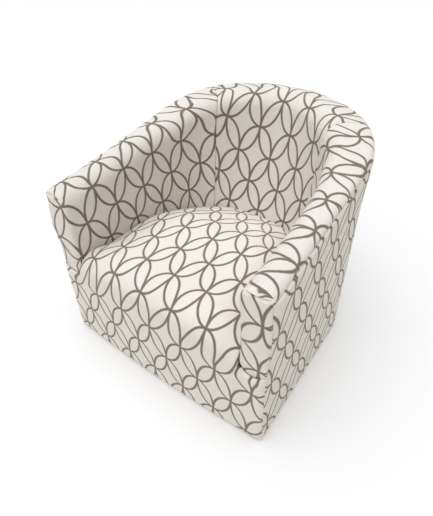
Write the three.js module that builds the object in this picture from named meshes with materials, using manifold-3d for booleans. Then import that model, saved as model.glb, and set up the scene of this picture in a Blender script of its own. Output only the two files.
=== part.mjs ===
// A swivel barrel chair: a plywood base disc on glides, a ball-bearing swivel, a timber frame
// with sinuous springs, and fixed upholstery with a tight domed seat and one wrapping back.
// Millimetres, +Z up, the front looks along -Y, the origin is on the floor on the swivel's axis.
import * as THREE from 'three';
import { mergeVertices } from 'three/addons/utils/BufferGeometryUtils.js';
import Module from 'manifold-3d';

const wasm = await Module();
wasm.setup();

// Clearances
const seatedGap = 0.3; // between pieces that lie against each other
const runningGap = 1.2; // between pieces that turn past each other
const seatSideGap = 1.5; // seat cushion to the inside pads
const topRailGap = 0.8; // arm and back top rails to the foam over them
const weldDistance = 0.0001; // points nearer than this are one point

// Outline of the upholstered body
const overallHeight = 738;
const armHeight = 599; // top of the arm at its front end
const baseHalfWidth = 397;
const sideLean = 26; // how far a side leans in from the floor to the arm's height
const backTopReach = 413; // outside back to the axis, at the top
const backBaseReach = 419; // the same at the floor
const sideRun = 96; // how far behind the axis the straight sides go
const armFrontReach = 400; // front of the arm facings to the axis
const frontProudness = 22; // middle of the front panel beyond the arm facings
const hemHeight = 12; // floor to the lower edge of the upholstery
const outerRoundness = 2.12; // exponent of the plan's curved end
const innerRoundness = 1.6;
const rimRisePower = 1.23; // how the top edge climbs from the arms to the back

// Inside and outside upholstery
const armThickness = 80;
const insideSwell = 39; // how far the inside arm thickens before the curve of the back
const insideSwellLength = 342;
const insideSwellPower = 3;
const backThicknessTop = 82; // at the top of the back
const backThicknessSeat = 177; // at the height of the seat's crown, as the inside leans
const topFoam = 22; // over the arm and back rails
const rollInnerRadius = 34;
const rollOuterRadius = 15;
const rollOverhang = 9; // of the rolled top beyond the outside panels
const insideSeamAngle = 0.76; // vertical seams of the inside back, from the side, in radians
const outsideSeamAngle = 0.35; // vertical seams of the outside back
const panelThickness = 6; // outside panels with their wadding

// Arm facings and front panel
const facingThickness = 12;
const facingBottomHeight = 270; // lowest point of the half-round end
const facingInset = 3; // facing's edge inside the arm's rolled edge
const frontPanelBow = 15;
const frontCornerRadius = 28;

// Seat
const seatCrownHeight = 415;
const seatSideDrop = 67; // crown to where the seat meets the arm
const seatSidePower = 3.35;
const seatBackDrop = 95;
const seatBackStart = -86; // where the crown starts to fall, from the axis
const seatBackPower = 1.28;
const seatFrontDrop = 62; // height of the rounded front edge
const seatFrontRoll = 80; // its depth

// Timber frame
const railDepth = 45;
const railHeight = 24;
const bottomRailBase = 16;
const seatRailTop = 250;
const postWidth = 36;
const slatWidth = 62;
const slatThickness = 20;
const slatToPostGap = 4;

// Seat suspension
const springCount = 6;
const springPitch = 86;
const springWire = 4;
const springHalfWidth = 22;
const springLoops = 10;
const springRise = 32;
const springEnd = 14; // length of a spring that bears on the rail
const deckThickness = 6;
const deckMargin = 4; // deck's edge beyond the outermost spring
const deckRearGap = 2; // deck's rear edge to the frame

// Swivel and base
const glideHeight = 8;
const glideRadius = 17;
const glideSpigotRadius = 5;
const glideSpigotLength = 10;
const glideCount = 4;
const glideInset = 26; // glide's centre to the disc's edge
const discRadius = 240;
const discThickness = 18;
const plateSide = 240;
const plateCornerRadius = 26;
const plateThickness = 3;
const boltInset = 26; // plate's edge to the bolt's centre
const raceRadius = 84;
const raceHalfWidth = 12;
const raceFloor = 1;
const raceTaper = 1;
const ballRadius = 4.75;
const ballCount = 18;
const cageThickness = 2;
const cageHalfWidth = 3;
const rivetRadius = 12;
const rivetBore = 8;
const rivetFlangeRadius = 19;
const rivetFlangeThickness = 2.5;
const boltRadius = 4;
const boltHeadRadius = 7.5;
const boltHeadHeight = 4;
const screwRadius = 2.5;
const screwHeadRadius = 5.5;
const screwHeadHeight = 3;
const screwLength = 15;
const dustCoverThickness = 1;

// Numbers of facets
const sideSteps = 6; // along each straight side of the wall
const wallSteps = 20; // round its curved end
const rollSteps = 4;
const turnedSides = 40;
const smallSides = 12;
const wallLevels = 6; // up a tall piece of the wall
const springStepsPerLoop = 6;
const springSides = 5;

// Heights that follow from the sizes above, from the floor up
const discBase = glideHeight + seatedGap;
const discTop = discBase + discThickness;
const lowerPlateBase = discTop + seatedGap;
const lowerPlateTop = lowerPlateBase + plateThickness;
const ballCentre = lowerPlateTop + raceFloor + ballRadius + seatedGap;
const upperPlateBase = 2 * ballCentre - lowerPlateTop;
const upperPlateTop = upperPlateBase + plateThickness;
const dustCoverBase = upperPlateTop + seatedGap;
const slatBase = dustCoverBase + dustCoverThickness + seatedGap;
const slatTop = slatBase + slatThickness;
const bottomRailTop = slatBase - seatedGap;
const seatRailBase = seatRailTop - railHeight;

// Depths into the wall from its outside, and places from front to back
const frontReach = armFrontReach + frontProudness;
const frameOuter = panelThickness + seatedGap;
const frameInner = frameOuter + railDepth;
const padOuter = frameInner + seatedGap;
const panelFront = -armFrontReach + seatedGap;
const armFront = panelFront + facingThickness; // where the arm's own pieces start
const frontRailBack = panelFront + railDepth;
const slatCentre = plateSide / 2 - boltInset;

const halfWidthAt = (z) => baseHalfWidth - (sideLean * z) / armHeight;
const backReachAt = (z) =>
  backBaseReach + ((backTopReach - backBaseReach) * z) / overallHeight;
const backThicknessAt = (z) => {
  const share = (z - seatCrownHeight) / (overallHeight - seatCrownHeight);
  return backThicknessSeat + (backThicknessTop - backThicknessSeat) * share;
};
const smooth = (value) => {
  const share = Math.min(Math.max(value, 0), 1);
  return share * share * (3 - 2 * share);
};
const rimHeightAt = (y) => {
  const share = (y + armFrontReach) / (backTopReach + armFrontReach);
  return armHeight + (overallHeight - armHeight) * Math.max(share, 0) ** rimRisePower;
};

// A place along the wall is a station number. Stations run from the front of the right side
// over the back to the front of the left side, and every wall piece has its facets there.
const stationCount = 2 * sideSteps + wallSteps;
const power = (base, exponent) => Math.sign(base) * Math.abs(base) ** exponent;

function stationPoint(station, z, sideDepth, backDepth, roundness) {
  const half = halfWidthAt(z) - sideDepth;
  const fromEnd = Math.min(station, stationCount - station);
  if (fromEnd < sideSteps) {
    const side = station < sideSteps ? 1 : -1;
    const y = -armFrontReach + ((sideRun + armFrontReach) * fromEnd) / sideSteps;
    return new THREE.Vector3(side * half, y, z);
  }
  const angle = (Math.PI * (station - sideSteps)) / wallSteps;
  const reach = backReachAt(z) - sideRun - backDepth;
  const x = half * power(Math.cos(angle), 2 / roundness);
  const y = sideRun + reach * Math.max(Math.sin(angle), 0) ** (2 / roundness);
  return new THREE.Vector3(x, y, z);
}

// Between two stations the wall is straight
function between(place, valueAt, mix) {
  const near = Math.min(Math.floor(place), stationCount - 1);
  return mix(valueAt(near), valueAt(near + 1), place - near);
}

const wallPoint = (place, z, sideDepth, backDepth = sideDepth, roundness = outerRoundness) =>
  between(
    place,
    (station) => stationPoint(station, z, sideDepth, backDepth, roundness),
    (near, far, share) => near.lerp(far, share),
  );

const rimAt = (place) =>
  between(
    place,
    (station) => rimHeightAt(stationPoint(station, overallHeight, 0, 0, outerRoundness).y),
    (near, far, share) => near + (far - near) * share,
  );

// How much thicker than at its front the inside arm is
const swellAt = (place) =>
  between(
    place,
    (station) => {
      const { y } = stationPoint(station, armHeight, 0, 0, outerRoundness);
      const share = 1 - (sideRun - y) / insideSwellLength;
      return insideSwell * Math.min(Math.max(share, 0), 1) ** insideSwellPower;
    },
    (near, far, share) => near + (far - near) * share,
  );

// The places of a piece between two ends: the ends and every station between them
function span(from, to) {
  const inner = [];
  for (let station = Math.floor(from) + 1; station < to; station += 1) inner.push(station);
  return [from, ...inner, to];
}
const countOnRight = (places) => places.filter((place) => place < stationCount / 2).length;
const mirrored = (places) => places.map((place) => stationCount - place).reverse();
const placeAtY = (y) => (sideSteps * (y + armFrontReach)) / (sideRun + armFrontReach);
const placeAtAngle = (angle) => sideSteps + (wallSteps * angle) / Math.PI;
const curveLength = (Math.PI * (baseHalfWidth + backTopReach - sideRun)) / 2;
const placesPerLength = wallSteps / curveLength;
const seamGapPlaces = seatedGap * placesPerLength;

const range = (count) => Array.from({ length: count + 1 }, (_, i) => i / count);

// Signed area of a closed outline of [u, v] pairs
const areaOf = (outline) =>
  outline.reduce((sum, [u, v], i) => {
    const [nextU, nextV] = outline[(i + 1) % outline.length];
    return sum + (u * nextV - nextU * v) / 2;
  }, 0);

// One closed body through rings of equally many points. endOutlines gives the flat outline
// of the first and the last ring, from which their caps are made. From the ring flipFrom on,
// each four-sided facet is split the other way, so that the left side mirrors the right.
function loft(rings, endOutlines, flipFrom = rings.length) {
  const count = rings[0].length;
  const points = rings.flat();
  const faces = [];
  for (let ring = 0; ring + 1 < rings.length; ring += 1) {
    for (let i = 0; i < count; i += 1) {
      const [near, nearNext] = [ring * count + i, ring * count + ((i + 1) % count)];
      const [far, farNext] = [near + count, nearNext + count];
      if (ring < flipFrom) faces.push([near, nearNext, farNext], [near, farNext, far]);
      else faces.push([near, nearNext, far], [nearNext, farNext, far]);
    }
  }
  endOutlines.forEach((outline, end) => {
    const flat = outline.map(([u, v]) => new THREE.Vector2(u, v));
    const first = end === 0 ? 0 : points.length - count;
    for (const triangle of THREE.ShapeUtils.triangulateShape(flat, [])) {
      const sameWay = areaOf(triangle.map((i) => outline[i])) * areaOf(outline) > 0;
      const cap = triangle.map((i) => first + i);
      faces.push(sameWay === (end === 1) ? cap : cap.reverse());
    }
  });
  return closedBody(points, faces);
}

// Faces of a closed body, turned so that they point outwards
function closedBody(points, faces) {
  const volume = faces.reduce((sum, [a, b, c]) => {
    const normal = new THREE.Vector3().crossVectors(points[b], points[c]);
    return sum + points[a].dot(normal);
  }, 0);
  if (volume < 0) faces.forEach((face) => face.reverse());
  const geometry = new THREE.BufferGeometry().setFromPoints(points);
  geometry.setIndex(faces.flat());
  geometry.computeVertexNormals();
  return geometry;
}

// Joins of closed meshes
function toSolid(geometry) {
  const bare = geometry.clone();
  bare.deleteAttribute('normal');
  bare.deleteAttribute('uv');
  const merged = mergeVertices(bare, weldDistance);
  const numProp = 3;
  const vertProperties = new Float32Array(merged.attributes.position.array);
  const triVerts = new Uint32Array(merged.index.array);
  return new wasm.Manifold(new wasm.Mesh({ numProp, vertProperties, triVerts }));
}

function joined(geometries) {
  const solid = geometries.map(toSolid).reduce((all, part) => all.add(part));
  const { vertProperties, triVerts } = solid.getMesh();
  const geometry = new THREE.BufferGeometry();
  geometry.setAttribute('position', new THREE.BufferAttribute(vertProperties, 3));
  geometry.setIndex(new THREE.BufferAttribute(triVerts, 1));
  geometry.computeVertexNormals();
  return geometry;
}

// Turned pieces: a closed profile of [radius, z] pairs spun about Z
const turned = (profile, sides = turnedSides) =>
  new THREE.LatheGeometry(
    profile.map(([radius, z]) => new THREE.Vector2(radius, z)),
    sides,
  ).rotateX(Math.PI / 2);

const circle = (x, y, radius, sides = smallSides) =>
  Array.from({ length: sides }, (_, i) => {
    const angle = (2 * Math.PI * i) / sides;
    return new THREE.Vector2(x + radius * Math.cos(angle), y + radius * Math.sin(angle));
  });

// A flat board or sheet of any outline, with round holes, standing on the height bottom
function sheet(outline, holes, bottom, thickness) {
  const shape = new THREE.Shape(outline);
  shape.holes = holes.map((hole) => new THREE.Path(hole));
  const solid = new THREE.ExtrudeGeometry(shape, { depth: thickness, bevelEnabled: false });
  return solid.translate(0, 0, bottom);
}

// A piece that follows the wall: a rectangular section between two depths and two heights,
// which may change from place to place. A tall one is made in several levels.
function rail(places, low, high, levels = 1, outer = frameOuter, inner = frameInner) {
  const section = (place) => {
    const [bottom, top] = [low(place), high(place)];
    const heights = range(levels).map((share) => bottom + (top - bottom) * share);
    const inside = heights.map((z) => [inner, z]);
    const outside = heights.reverse().map((z) => [outer, z]);
    return [...inside, ...outside];
  };
  const rings = places.map((place) =>
    section(place).map(([depth, z]) => wallPoint(place, z, depth)),
  );
  return loft(rings, [section(places[0]), section(places.at(-1))], countOnRight(places));
}
const level = (z) => () => z;

// Finishes
const finish = (color, roughness, metalness = 0) =>
  new THREE.MeshStandardMaterial({ color, roughness, metalness });
const fabric = finish(0xddd6cb, 0.95);
const hardwood = finish(0xc9a877, 0.7);
const plywood = finish(0xb89464, 0.75);
const zincSteel = finish(0xa9adb0, 0.4, 0.9);
const springSteel = finish(0x4d4f52, 0.45, 0.9);
const blackNylon = finish(0x1c1c1e, 0.6);
const cambric = finish(0x232323, 0.95);
const feltPad = finish(0xb5b0a6, 0.95);

// The base stands on the floor and the chair turns on it
const base = new THREE.Group();
const chair = new THREE.Group();

function add(body, name, geometry, material) {
  const mesh = new THREE.Mesh(geometry, material);
  mesh.name = name;
  body.add(mesh);
}

// A piece of the right side and its mirror image on the left
function addPair(name, makeFrom, rightPlaces, material) {
  add(chair, `right_${name}`, makeFrom(rightPlaces), material);
  add(chair, `left_${name}`, makeFrom(mirrored(rightPlaces)), material);
}

// Base disc and glides
const glideCircle = discRadius - glideInset;
const glidePlaces = Array.from({ length: glideCount }, (_, i) => {
  const angle = (2 * Math.PI * (i + 1 / 2)) / glideCount;
  return [glideCircle * Math.cos(angle), glideCircle * Math.sin(angle)];
});
const boltPlaces = [1, -1].flatMap((right) =>
  [1, -1].map((rear) => [right * slatCentre, rear * slatCentre]),
);
const boltHoles = (radius) => boltPlaces.map(([x, y]) => circle(x, y, radius + seatedGap));

function makeGlides() {
  const top = glideHeight + glideSpigotLength;
  const footShare = 0.82;
  const profile = [
    [0, 0],
    [glideRadius * footShare, 0],
    [glideRadius, glideHeight / 3],
    [glideRadius, glideHeight],
    [glideSpigotRadius, glideHeight],
    [glideSpigotRadius, top],
    [0, top],
  ];
  glidePlaces.forEach(([x, y], i) => {
    const glide = turned(profile, smallSides * 2).translate(x, y, 0);
    add(base, `floor_glide_${i + 1}`, glide, blackNylon);
  });
}

function makeBaseDisc() {
  const glideHoles = glidePlaces.map(([x, y]) =>
    circle(x, y, glideSpigotRadius + seatedGap),
  );
  const rivetHole = circle(0, 0, rivetFlangeRadius + runningGap, smallSides * 2);
  const holes = [...glideHoles, ...boltHoles(screwRadius), rivetHole];
  const edge = circle(0, 0, discRadius, turnedSides);
  add(base, 'base_disc', sheet(edge, holes, discBase, discThickness), plywood);
}

// Swivel: two pressed plates that face each other, each with a ring that holds the balls'
// groove, a caged ring of balls between them, and a hollow rivet that keeps them together.
// side is 1 for the lower plate, whose ring stands up, and -1 for the upper one.
function plateOutline() {
  const half = plateSide / 2 - plateCornerRadius;
  const shape = new THREE.Shape();
  [
    [half, half],
    [-half, half],
    [-half, -half],
    [half, -half],
  ].forEach(([x, y], i) => {
    shape.absarc(x, y, plateCornerRadius, (i * Math.PI) / 2, ((i + 1) * Math.PI) / 2);
  });
  return shape.getPoints(rollSteps);
}

function raceRing(face, side) {
  const groove = ballRadius + seatedGap;
  const lip = cageThickness / 2 + seatedGap; // the ring stops short of the cage
  const open = Math.acos(lip / groove);
  const rim = ballCentre - side * lip;
  const root = face - (side * plateThickness) / 2;
  const grooveArc = range(rollSteps * 2).map((share) => {
    const angle = open - 2 * open * share;
    return [
      raceRadius + groove * Math.sin(angle),
      ballCentre - side * groove * Math.cos(angle),
    ];
  });
  const profile = [
    [raceRadius + raceHalfWidth, root],
    [raceRadius + raceHalfWidth - raceTaper, rim],
    ...grooveArc,
    [raceRadius - raceHalfWidth + raceTaper, rim],
    [raceRadius - raceHalfWidth, root],
    [raceRadius + raceHalfWidth, root],
  ];
  return turned(side > 0 ? profile : profile.reverse());
}

function makePlate(body, name, bottom, side, holeRadius, rivetGap) {
  const rivetHole = circle(0, 0, rivetRadius + rivetGap, smallSides * 2);
  const holes = [...boltHoles(holeRadius), rivetHole];
  const flat = sheet(plateOutline(), holes, bottom, plateThickness);
  const face = side > 0 ? bottom + plateThickness : bottom;
  add(body, name, joined([flat, raceRing(face, side)]), zincSteel);
}

function makeBallCage() {
  const low = ballCentre - cageThickness / 2;
  const high = ballCentre + cageThickness / 2;
  const ring = turned([
    [raceRadius - cageHalfWidth, low],
    [raceRadius + cageHalfWidth, low],
    [raceRadius + cageHalfWidth, high],
    [raceRadius - cageHalfWidth, high],
    [raceRadius - cageHalfWidth, low],
  ]);
  const balls = Array.from({ length: ballCount }, (_, i) => {
    const angle = (2 * Math.PI * i) / ballCount;
    const ball = new THREE.SphereGeometry(ballRadius, 8, 5).rotateX(Math.PI / 2);
    const [x, y] = [raceRadius * Math.cos(angle), raceRadius * Math.sin(angle)];
    return ball.translate(x, y, ballCentre);
  });
  add(base, 'ball_cage', joined([ring, ...balls]), zincSteel);
}

function makeRivet() {
  const low = lowerPlateBase - seatedGap;
  const high = upperPlateTop + seatedGap;
  const profile = [
    [rivetBore, low - rivetFlangeThickness],
    [rivetFlangeRadius, low - rivetFlangeThickness],
    [rivetFlangeRadius, low],
    [rivetRadius, low],
    [rivetRadius, high],
    [rivetFlangeRadius, high],
    [rivetFlangeRadius, high + rivetFlangeThickness],
    [rivetBore, high + rivetFlangeThickness],
    [rivetBore, low - rivetFlangeThickness],
  ];
  add(base, 'pivot_rivet', turned(profile, smallSides * 2), zincSteel);
}

// A screw or bolt with the face of its head at headFace and its shank up (1) or down (-1)
function fastener(radius, headRadius, headHeight, length, headFace, way) {
  const profile = [
    [0, headFace - way * headHeight],
    [headRadius, headFace - way * headHeight],
    [headRadius, headFace],
    [radius, headFace],
    [radius, headFace + way * length],
    [0, headFace + way * length],
  ];
  return turned(way > 0 ? profile : profile.reverse(), smallSides);
}

function makeFasteners() {
  const screwFace = lowerPlateTop + seatedGap;
  const boltFace = upperPlateBase - seatedGap;
  const boltLength = slatTop - boltFace;
  boltPlaces.forEach(([x, y], i) => {
    const screw = fastener(
      screwRadius,
      screwHeadRadius,
      screwHeadHeight,
      screwLength,
      screwFace,
      -1,
    );
    add(base, `base_screw_${i + 1}`, screw.translate(x, y, 0), zincSteel);
    const bolt = fastener(
      boltRadius,
      boltHeadRadius,
      boltHeadHeight,
      boltLength,
      boltFace,
      1,
    );
    add(chair, `swivel_bolt_${i + 1}`, bolt.translate(x, y, 0), zincSteel);
  });
}

// Two slats carry the swivel across the frame, with the dust cover between
function makeSlats() {
  const reach = halfWidthAt(slatTop) - (frameOuter + frameInner) / 2;
  for (const [rear, word] of [
    [-1, 'front'],
    [1, 'rear'],
  ]) {
    const near = rear * slatCentre - slatWidth / 2;
    const far = near + slatWidth;
    const outline = [
      [-reach, near],
      [reach, near],
      [reach, far],
      [-reach, far],
    ].map(([x, y]) => new THREE.Vector2(x, y));
    const holes = [1, -1].map((right) =>
      circle(right * slatCentre, rear * slatCentre, boltRadius + seatedGap),
    );
    const slat = sheet(outline, holes, slatBase, slatThickness);
    add(chair, `${word}_swivel_slat`, slat, hardwood);
  }
}

function makeDustCover() {
  const inset = frameInner + 2 * seatedGap;
  const front = frontRailBack + seatedGap;
  const curve = span(sideSteps, stationCount - sideSteps).map((place) => {
    const { x, y } = wallPoint(place, dustCoverBase, inset);
    return new THREE.Vector2(x, y);
  });
  const half = curve[0].x;
  const corners = [new THREE.Vector2(-half, front), new THREE.Vector2(half, front)];
  const holes = boltHoles(boltRadius);
  holes.push(circle(0, 0, rivetFlangeRadius + runningGap, smallSides * 2));
  const cover = sheet([...corners, ...curve], holes, dustCoverBase, dustCoverThickness);
  add(chair, 'dust_cover', cover, cambric);
}

// Frame: rails at the bottom, the seat and the top, with posts between them
const topRailHigh = (place) => rimAt(place) - topFoam - topRailGap;
const topRailLow = (place) => topRailHigh(place) - railHeight;

function makeRails() {
  const sideEnd = placeAtY(sideRun - seatedGap);
  const sides = span(placeAtY(armFront + postWidth + seatedGap), sideEnd);
  const arms = span(placeAtY(armFront), sideEnd);
  const back = span(sideSteps, stationCount - sideSteps);
  const bottomRail = (places) => rail(places, level(bottomRailBase), level(bottomRailTop));
  const seatRail = (places) => rail(places, level(seatRailBase), level(seatRailTop));
  const topRail = (places) => rail(places, topRailLow, topRailHigh);
  addPair('bottom_rail', bottomRail, sides, hardwood);
  addPair('seat_rail', seatRail, sides, hardwood);
  addPair('arm_top_rail', topRail, arms, hardwood);
  add(chair, 'back_bottom_rail', bottomRail(back), plywood);
  add(chair, 'back_seat_rail', seatRail(back), plywood);
  add(chair, 'back_top_rail', topRail(back), plywood);
}

function makeFrontRails() {
  for (const [name, low, high] of [
    ['front_bottom_rail', bottomRailBase, bottomRailTop],
    ['front_seat_rail', seatRailBase, seatRailTop],
  ]) {
    const width = 2 * (halfWidthAt(high) - frameInner - seatedGap);
    const front = new THREE.BoxGeometry(width, railDepth, high - low);
    front.translate(0, (panelFront + frontRailBack) / 2, (low + high) / 2);
    add(chair, name, front, hardwood);
  }
}

// The rear posts stand clear of the slat, and between the outer springs and the next ones
function makePosts() {
  const underTopRail = (place) => topRailLow(place) - topRailGap;
  const frontPost = (places) => rail(places, level(bottomRailBase), underTopRail, wallLevels);
  const front = span(placeAtY(armFront), placeAtY(armFront + postWidth));
  addPair('front_post', frontPost, front, hardwood);

  const width = postWidth * placesPerLength;
  const slatRear = slatCentre + slatWidth / 2 + slatToPostGap;
  const innerReach = backReachAt(bottomRailTop) - sideRun - frameInner;
  const rearShare = Math.max(slatRear - sideRun, 0) / innerReach;
  const sideAngle = Math.asin(rearShare ** (outerRoundness / 2));
  const betweenSprings = (springCount / 2 - 1) * springPitch;
  const innerHalf = halfWidthAt(seatRailTop) - frameInner;
  const backAngle = Math.acos((betweenSprings / innerHalf) ** (outerRoundness / 2));
  const legPost = (places) =>
    rail(
      places,
      level(bottomRailTop + seatedGap),
      level(seatRailBase - seatedGap),
      wallLevels / 2,
    );
  const upright = (places) =>
    rail(places, level(seatRailTop + seatedGap), underTopRail, wallLevels);
  for (const [which, from] of [
    ['side', placeAtAngle(sideAngle)],
    ['back', placeAtAngle(backAngle) - width / 2],
  ]) {
    addPair(`${which}_leg_post`, legPost, span(from, from + width), hardwood);
    addPair(`${which}_upright`, upright, span(from, from + width), hardwood);
  }
}

// Seat suspension: sinuous springs from the front to the back seat rail, arched upwards
const springFront = frontRailBack - springEnd;
const springBase = seatRailTop + seatedGap + springWire / 2;
const springPlaces = Array.from(
  { length: springCount },
  (_, i) => (i - (springCount - 1) / 2) * springPitch,
);

// How far back the frame reaches at a depth into it, at a distance x from the middle
function railBackAt(x, depth, z = seatRailTop) {
  const half = halfWidthAt(z) - depth;
  const reach = backReachAt(z) - sideRun - depth;
  const share = Math.min(Math.abs(x) / half, 1);
  return sideRun + reach * (1 - share ** outerRoundness) ** (1 / outerRoundness);
}

const springBackAt = (x) =>
  railBackAt(Math.abs(x) + springHalfWidth, frameInner - springEnd);
const springRiseAt = (x, y) => {
  const share = (y - springFront) / (springBackAt(x) - springFront);
  return springRise * 4 * Math.max(share * (1 - share), 0);
};

class SinuousPath extends THREE.Curve {
  constructor(x) {
    super();
    this.x = x;
  }

  getPoint(share) {
    const y = springFront + (springBackAt(this.x) - springFront) * share;
    const x = this.x + springHalfWidth * Math.sin(2 * Math.PI * springLoops * share);
    return new THREE.Vector3(x, y, springBase + springRiseAt(this.x, y));
  }

  // Even steps along the run, so that every loop gets the same facets
  getPointAt(share) {
    return this.getPoint(share);
  }
}

function makeSprings() {
  const wire = new THREE.Shape(circle(0, 0, springWire / 2, springSides));
  springPlaces.forEach((x, i) => {
    const spring = new THREE.ExtrudeGeometry(wire, {
      steps: springLoops * springStepsPerLoop,
      extrudePath: new SinuousPath(x),
      bevelEnabled: false,
    });
    add(chair, `seat_spring_${i + 1}`, spring, springSteel);
  });
}

// The deck lies on the springs from rail to rail
const deckTopAt = (y) => {
  const rise = Math.max(...springPlaces.map((x) => springRiseAt(x, y)));
  return springBase + springWire / 2 + seatedGap + rise + deckThickness;
};
const deckHalfWidth = springPlaces.at(-1) + springHalfWidth + deckMargin;

function makeDeck() {
  const across = range(8).map((share) => deckHalfWidth * (2 * share - 1));
  const highest = springBase + springRise;
  const backEdge = across.map((x) => railBackAt(x, frameInner + deckRearGap, highest));
  const lines = range(14).map((share) => {
    const points = across.map((x, i) => {
      const y = springFront + (backEdge[i] - springFront) * share;
      return new THREE.Vector3(x, y, deckTopAt(y));
    });
    const under = points.map(({ x, y, z }) => new THREE.Vector3(x, y, z - deckThickness));
    return [...points, ...under.reverse()];
  });
  const flat = (ring) => ring.map(({ x, z }) => [x, z]);
  add(chair, 'seat_deck', loft(lines, [flat(lines[0]), flat(lines.at(-1))]), feltPad);
}

// Seat cushion: cross-sections from the front edge to the crevice under the back
const seatBackEnd = backReachAt(seatRailTop) - backThicknessAt(seatRailTop) - seatSideGap;
const seatFrontRollEnd = -frontReach + seatFrontRoll;

function seatCrownAt(y) {
  if (y < seatFrontRollEnd) {
    const share = Math.min((seatFrontRollEnd - y) / seatFrontRoll, 1);
    return seatCrownHeight - seatFrontDrop * (1 - Math.sqrt(1 - share * share));
  }
  const share = Math.max(y - seatBackStart, 0) / (seatBackEnd - seatBackStart);
  return seatCrownHeight - seatBackDrop * share ** seatBackPower;
}

function seatHalfWidthAt(y) {
  const edgeHeight = seatCrownHeight - seatSideDrop;
  const swell = swellAt(placeAtY(Math.min(y, sideRun)));
  const half = halfWidthAt(edgeHeight) - armThickness - swell - seatSideGap;
  const share = Math.min(Math.max(y - sideRun, 0) / (seatBackEnd - sideRun), 1);
  return half * (1 - share ** innerRoundness) ** (1 / innerRoundness);
}

const bowAt = (x) => frontPanelBow * (x / baseHalfWidth) ** 2;

function seatSection(y) {
  const across = 18;
  const edgeShare = 0.12; // least height of the cushion's edge, of its crown's height
  const half = seatHalfWidthAt(y);
  const crown = seatCrownAt(y);
  const low = deckTopAt(y) + seatedGap;
  const edge = low + (crown - low) * edgeShare;
  const top = range(across).map((share) => {
    const side = 1 - 2 * share;
    const drop = seatSideDrop * Math.abs(side) ** seatSidePower;
    return [side * half, Math.max(crown - drop, edge)];
  });
  return [[-half, low], [0, low], [half, low], ...top];
}

function makeSeatCushion() {
  const lastShare = 0.955; // the last section stops short of the crevice's point
  const last = sideRun + (seatBackEnd - sideRun) * lastShare;
  const front = range(7).map(
    (share) => -frontReach + seatFrontRoll * (1 - Math.cos((share * Math.PI) / 2)),
  );
  const middle = range(12).map(
    (share) => seatFrontRollEnd + (sideRun - seatFrontRollEnd) * share,
  );
  const rear = range(7).map(
    (share) => sideRun + (last - sideRun) * Math.sin((share * Math.PI) / 2),
  );
  const lines = [...front, ...middle.slice(1), ...rear.slice(1)];
  const sections = lines.map(seatSection);
  const bowShare = (y) => 1 - smooth((y + frontReach) / seatFrontRoll);
  const rings = sections.map((section, i) =>
    section.map(([x, z]) => {
      const y = lines[i] + bowAt(x) * bowShare(lines[i]);
      return new THREE.Vector3(x, y, z);
    }),
  );
  add(chair, 'seat_cushion', loft(rings, [sections[0], sections.at(-1)]), fabric);
}

// The arm's front end: the facing lies between these depths and has a half-round lower end
const facingRadius = (armThickness - frameOuter) / 2;
const facingMiddleDepth = (armThickness + frameOuter) / 2;
const facingCentreHeight = facingBottomHeight + facingRadius;

// Front panel: sections from one corner to the other, notched round the arm facings
const facingLean = halfWidthAt(facingBottomHeight) - halfWidthAt(facingCentreHeight);
const notchRadius = facingRadius + facingLean + seatedGap;
const notchMiddle = halfWidthAt(facingCentreHeight) - facingMiddleDepth;
const notchInner = notchMiddle - notchRadius;

function frontPanelTopAt(x) {
  const highShare = 0.72; // height of the horns beside the facing, of the notch's radius
  if (Math.abs(x) < notchInner) return deckTopAt(springFront);
  const offset = Math.abs(Math.abs(x) - notchMiddle);
  const dip = Math.sqrt(Math.max(notchRadius ** 2 - offset ** 2, 0));
  return Math.min(facingCentreHeight - dip, facingBottomHeight + notchRadius * highShare);
}

function makeFrontPanel() {
  const cornerSteps = 12;
  const cornerShare = 0.2; // of the panel's thickness that is left at its outer corner
  const back = -armFrontReach - seatedGap;
  const half = halfWidthAt(hemHeight);
  const step = notchInner + seatedGap / 2; // the panel's top edge steps up here
  const flatPlaces = range(8).map((share) => (notchInner - seatedGap / 2) * share);
  const cornerPlaces = range(cornerSteps).map((share) => step + (half - step) * share);
  const side = [...flatPlaces.slice(1), ...cornerPlaces];
  const places = [...side.map((x) => -x).reverse(), 0, ...side];
  const sections = places.map((x) => {
    const corner = Math.max(Math.abs(x) - (half - frontCornerRadius), 0) / frontCornerRadius;
    const round = cornerShare + (1 - cornerShare) * Math.sqrt(1 - corner * corner);
    const face = back - (frontReach + back - bowAt(x)) * round;
    const top = frontPanelTopAt(x);
    return [
      [back, hemHeight],
      [face, hemHeight],
      [face, top],
      [back, top],
    ];
  });
  const rings = sections.map((section, i) =>
    section.map(([y, z]) => new THREE.Vector3(places[i], y, z)),
  );
  add(chair, 'front_panel', loft(rings, [sections[0], sections.at(-1)]), fabric);
}

// Points round the roll at the arm's top from one angle to another, as [depth, height] pairs
const rollArc = (depth, z, radius, from, to) =>
  range(rollSteps).map((share) => {
    const angle = from + (to - from) * share;
    return [depth + radius * Math.cos(angle), z + radius * Math.sin(angle)];
  });

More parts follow.
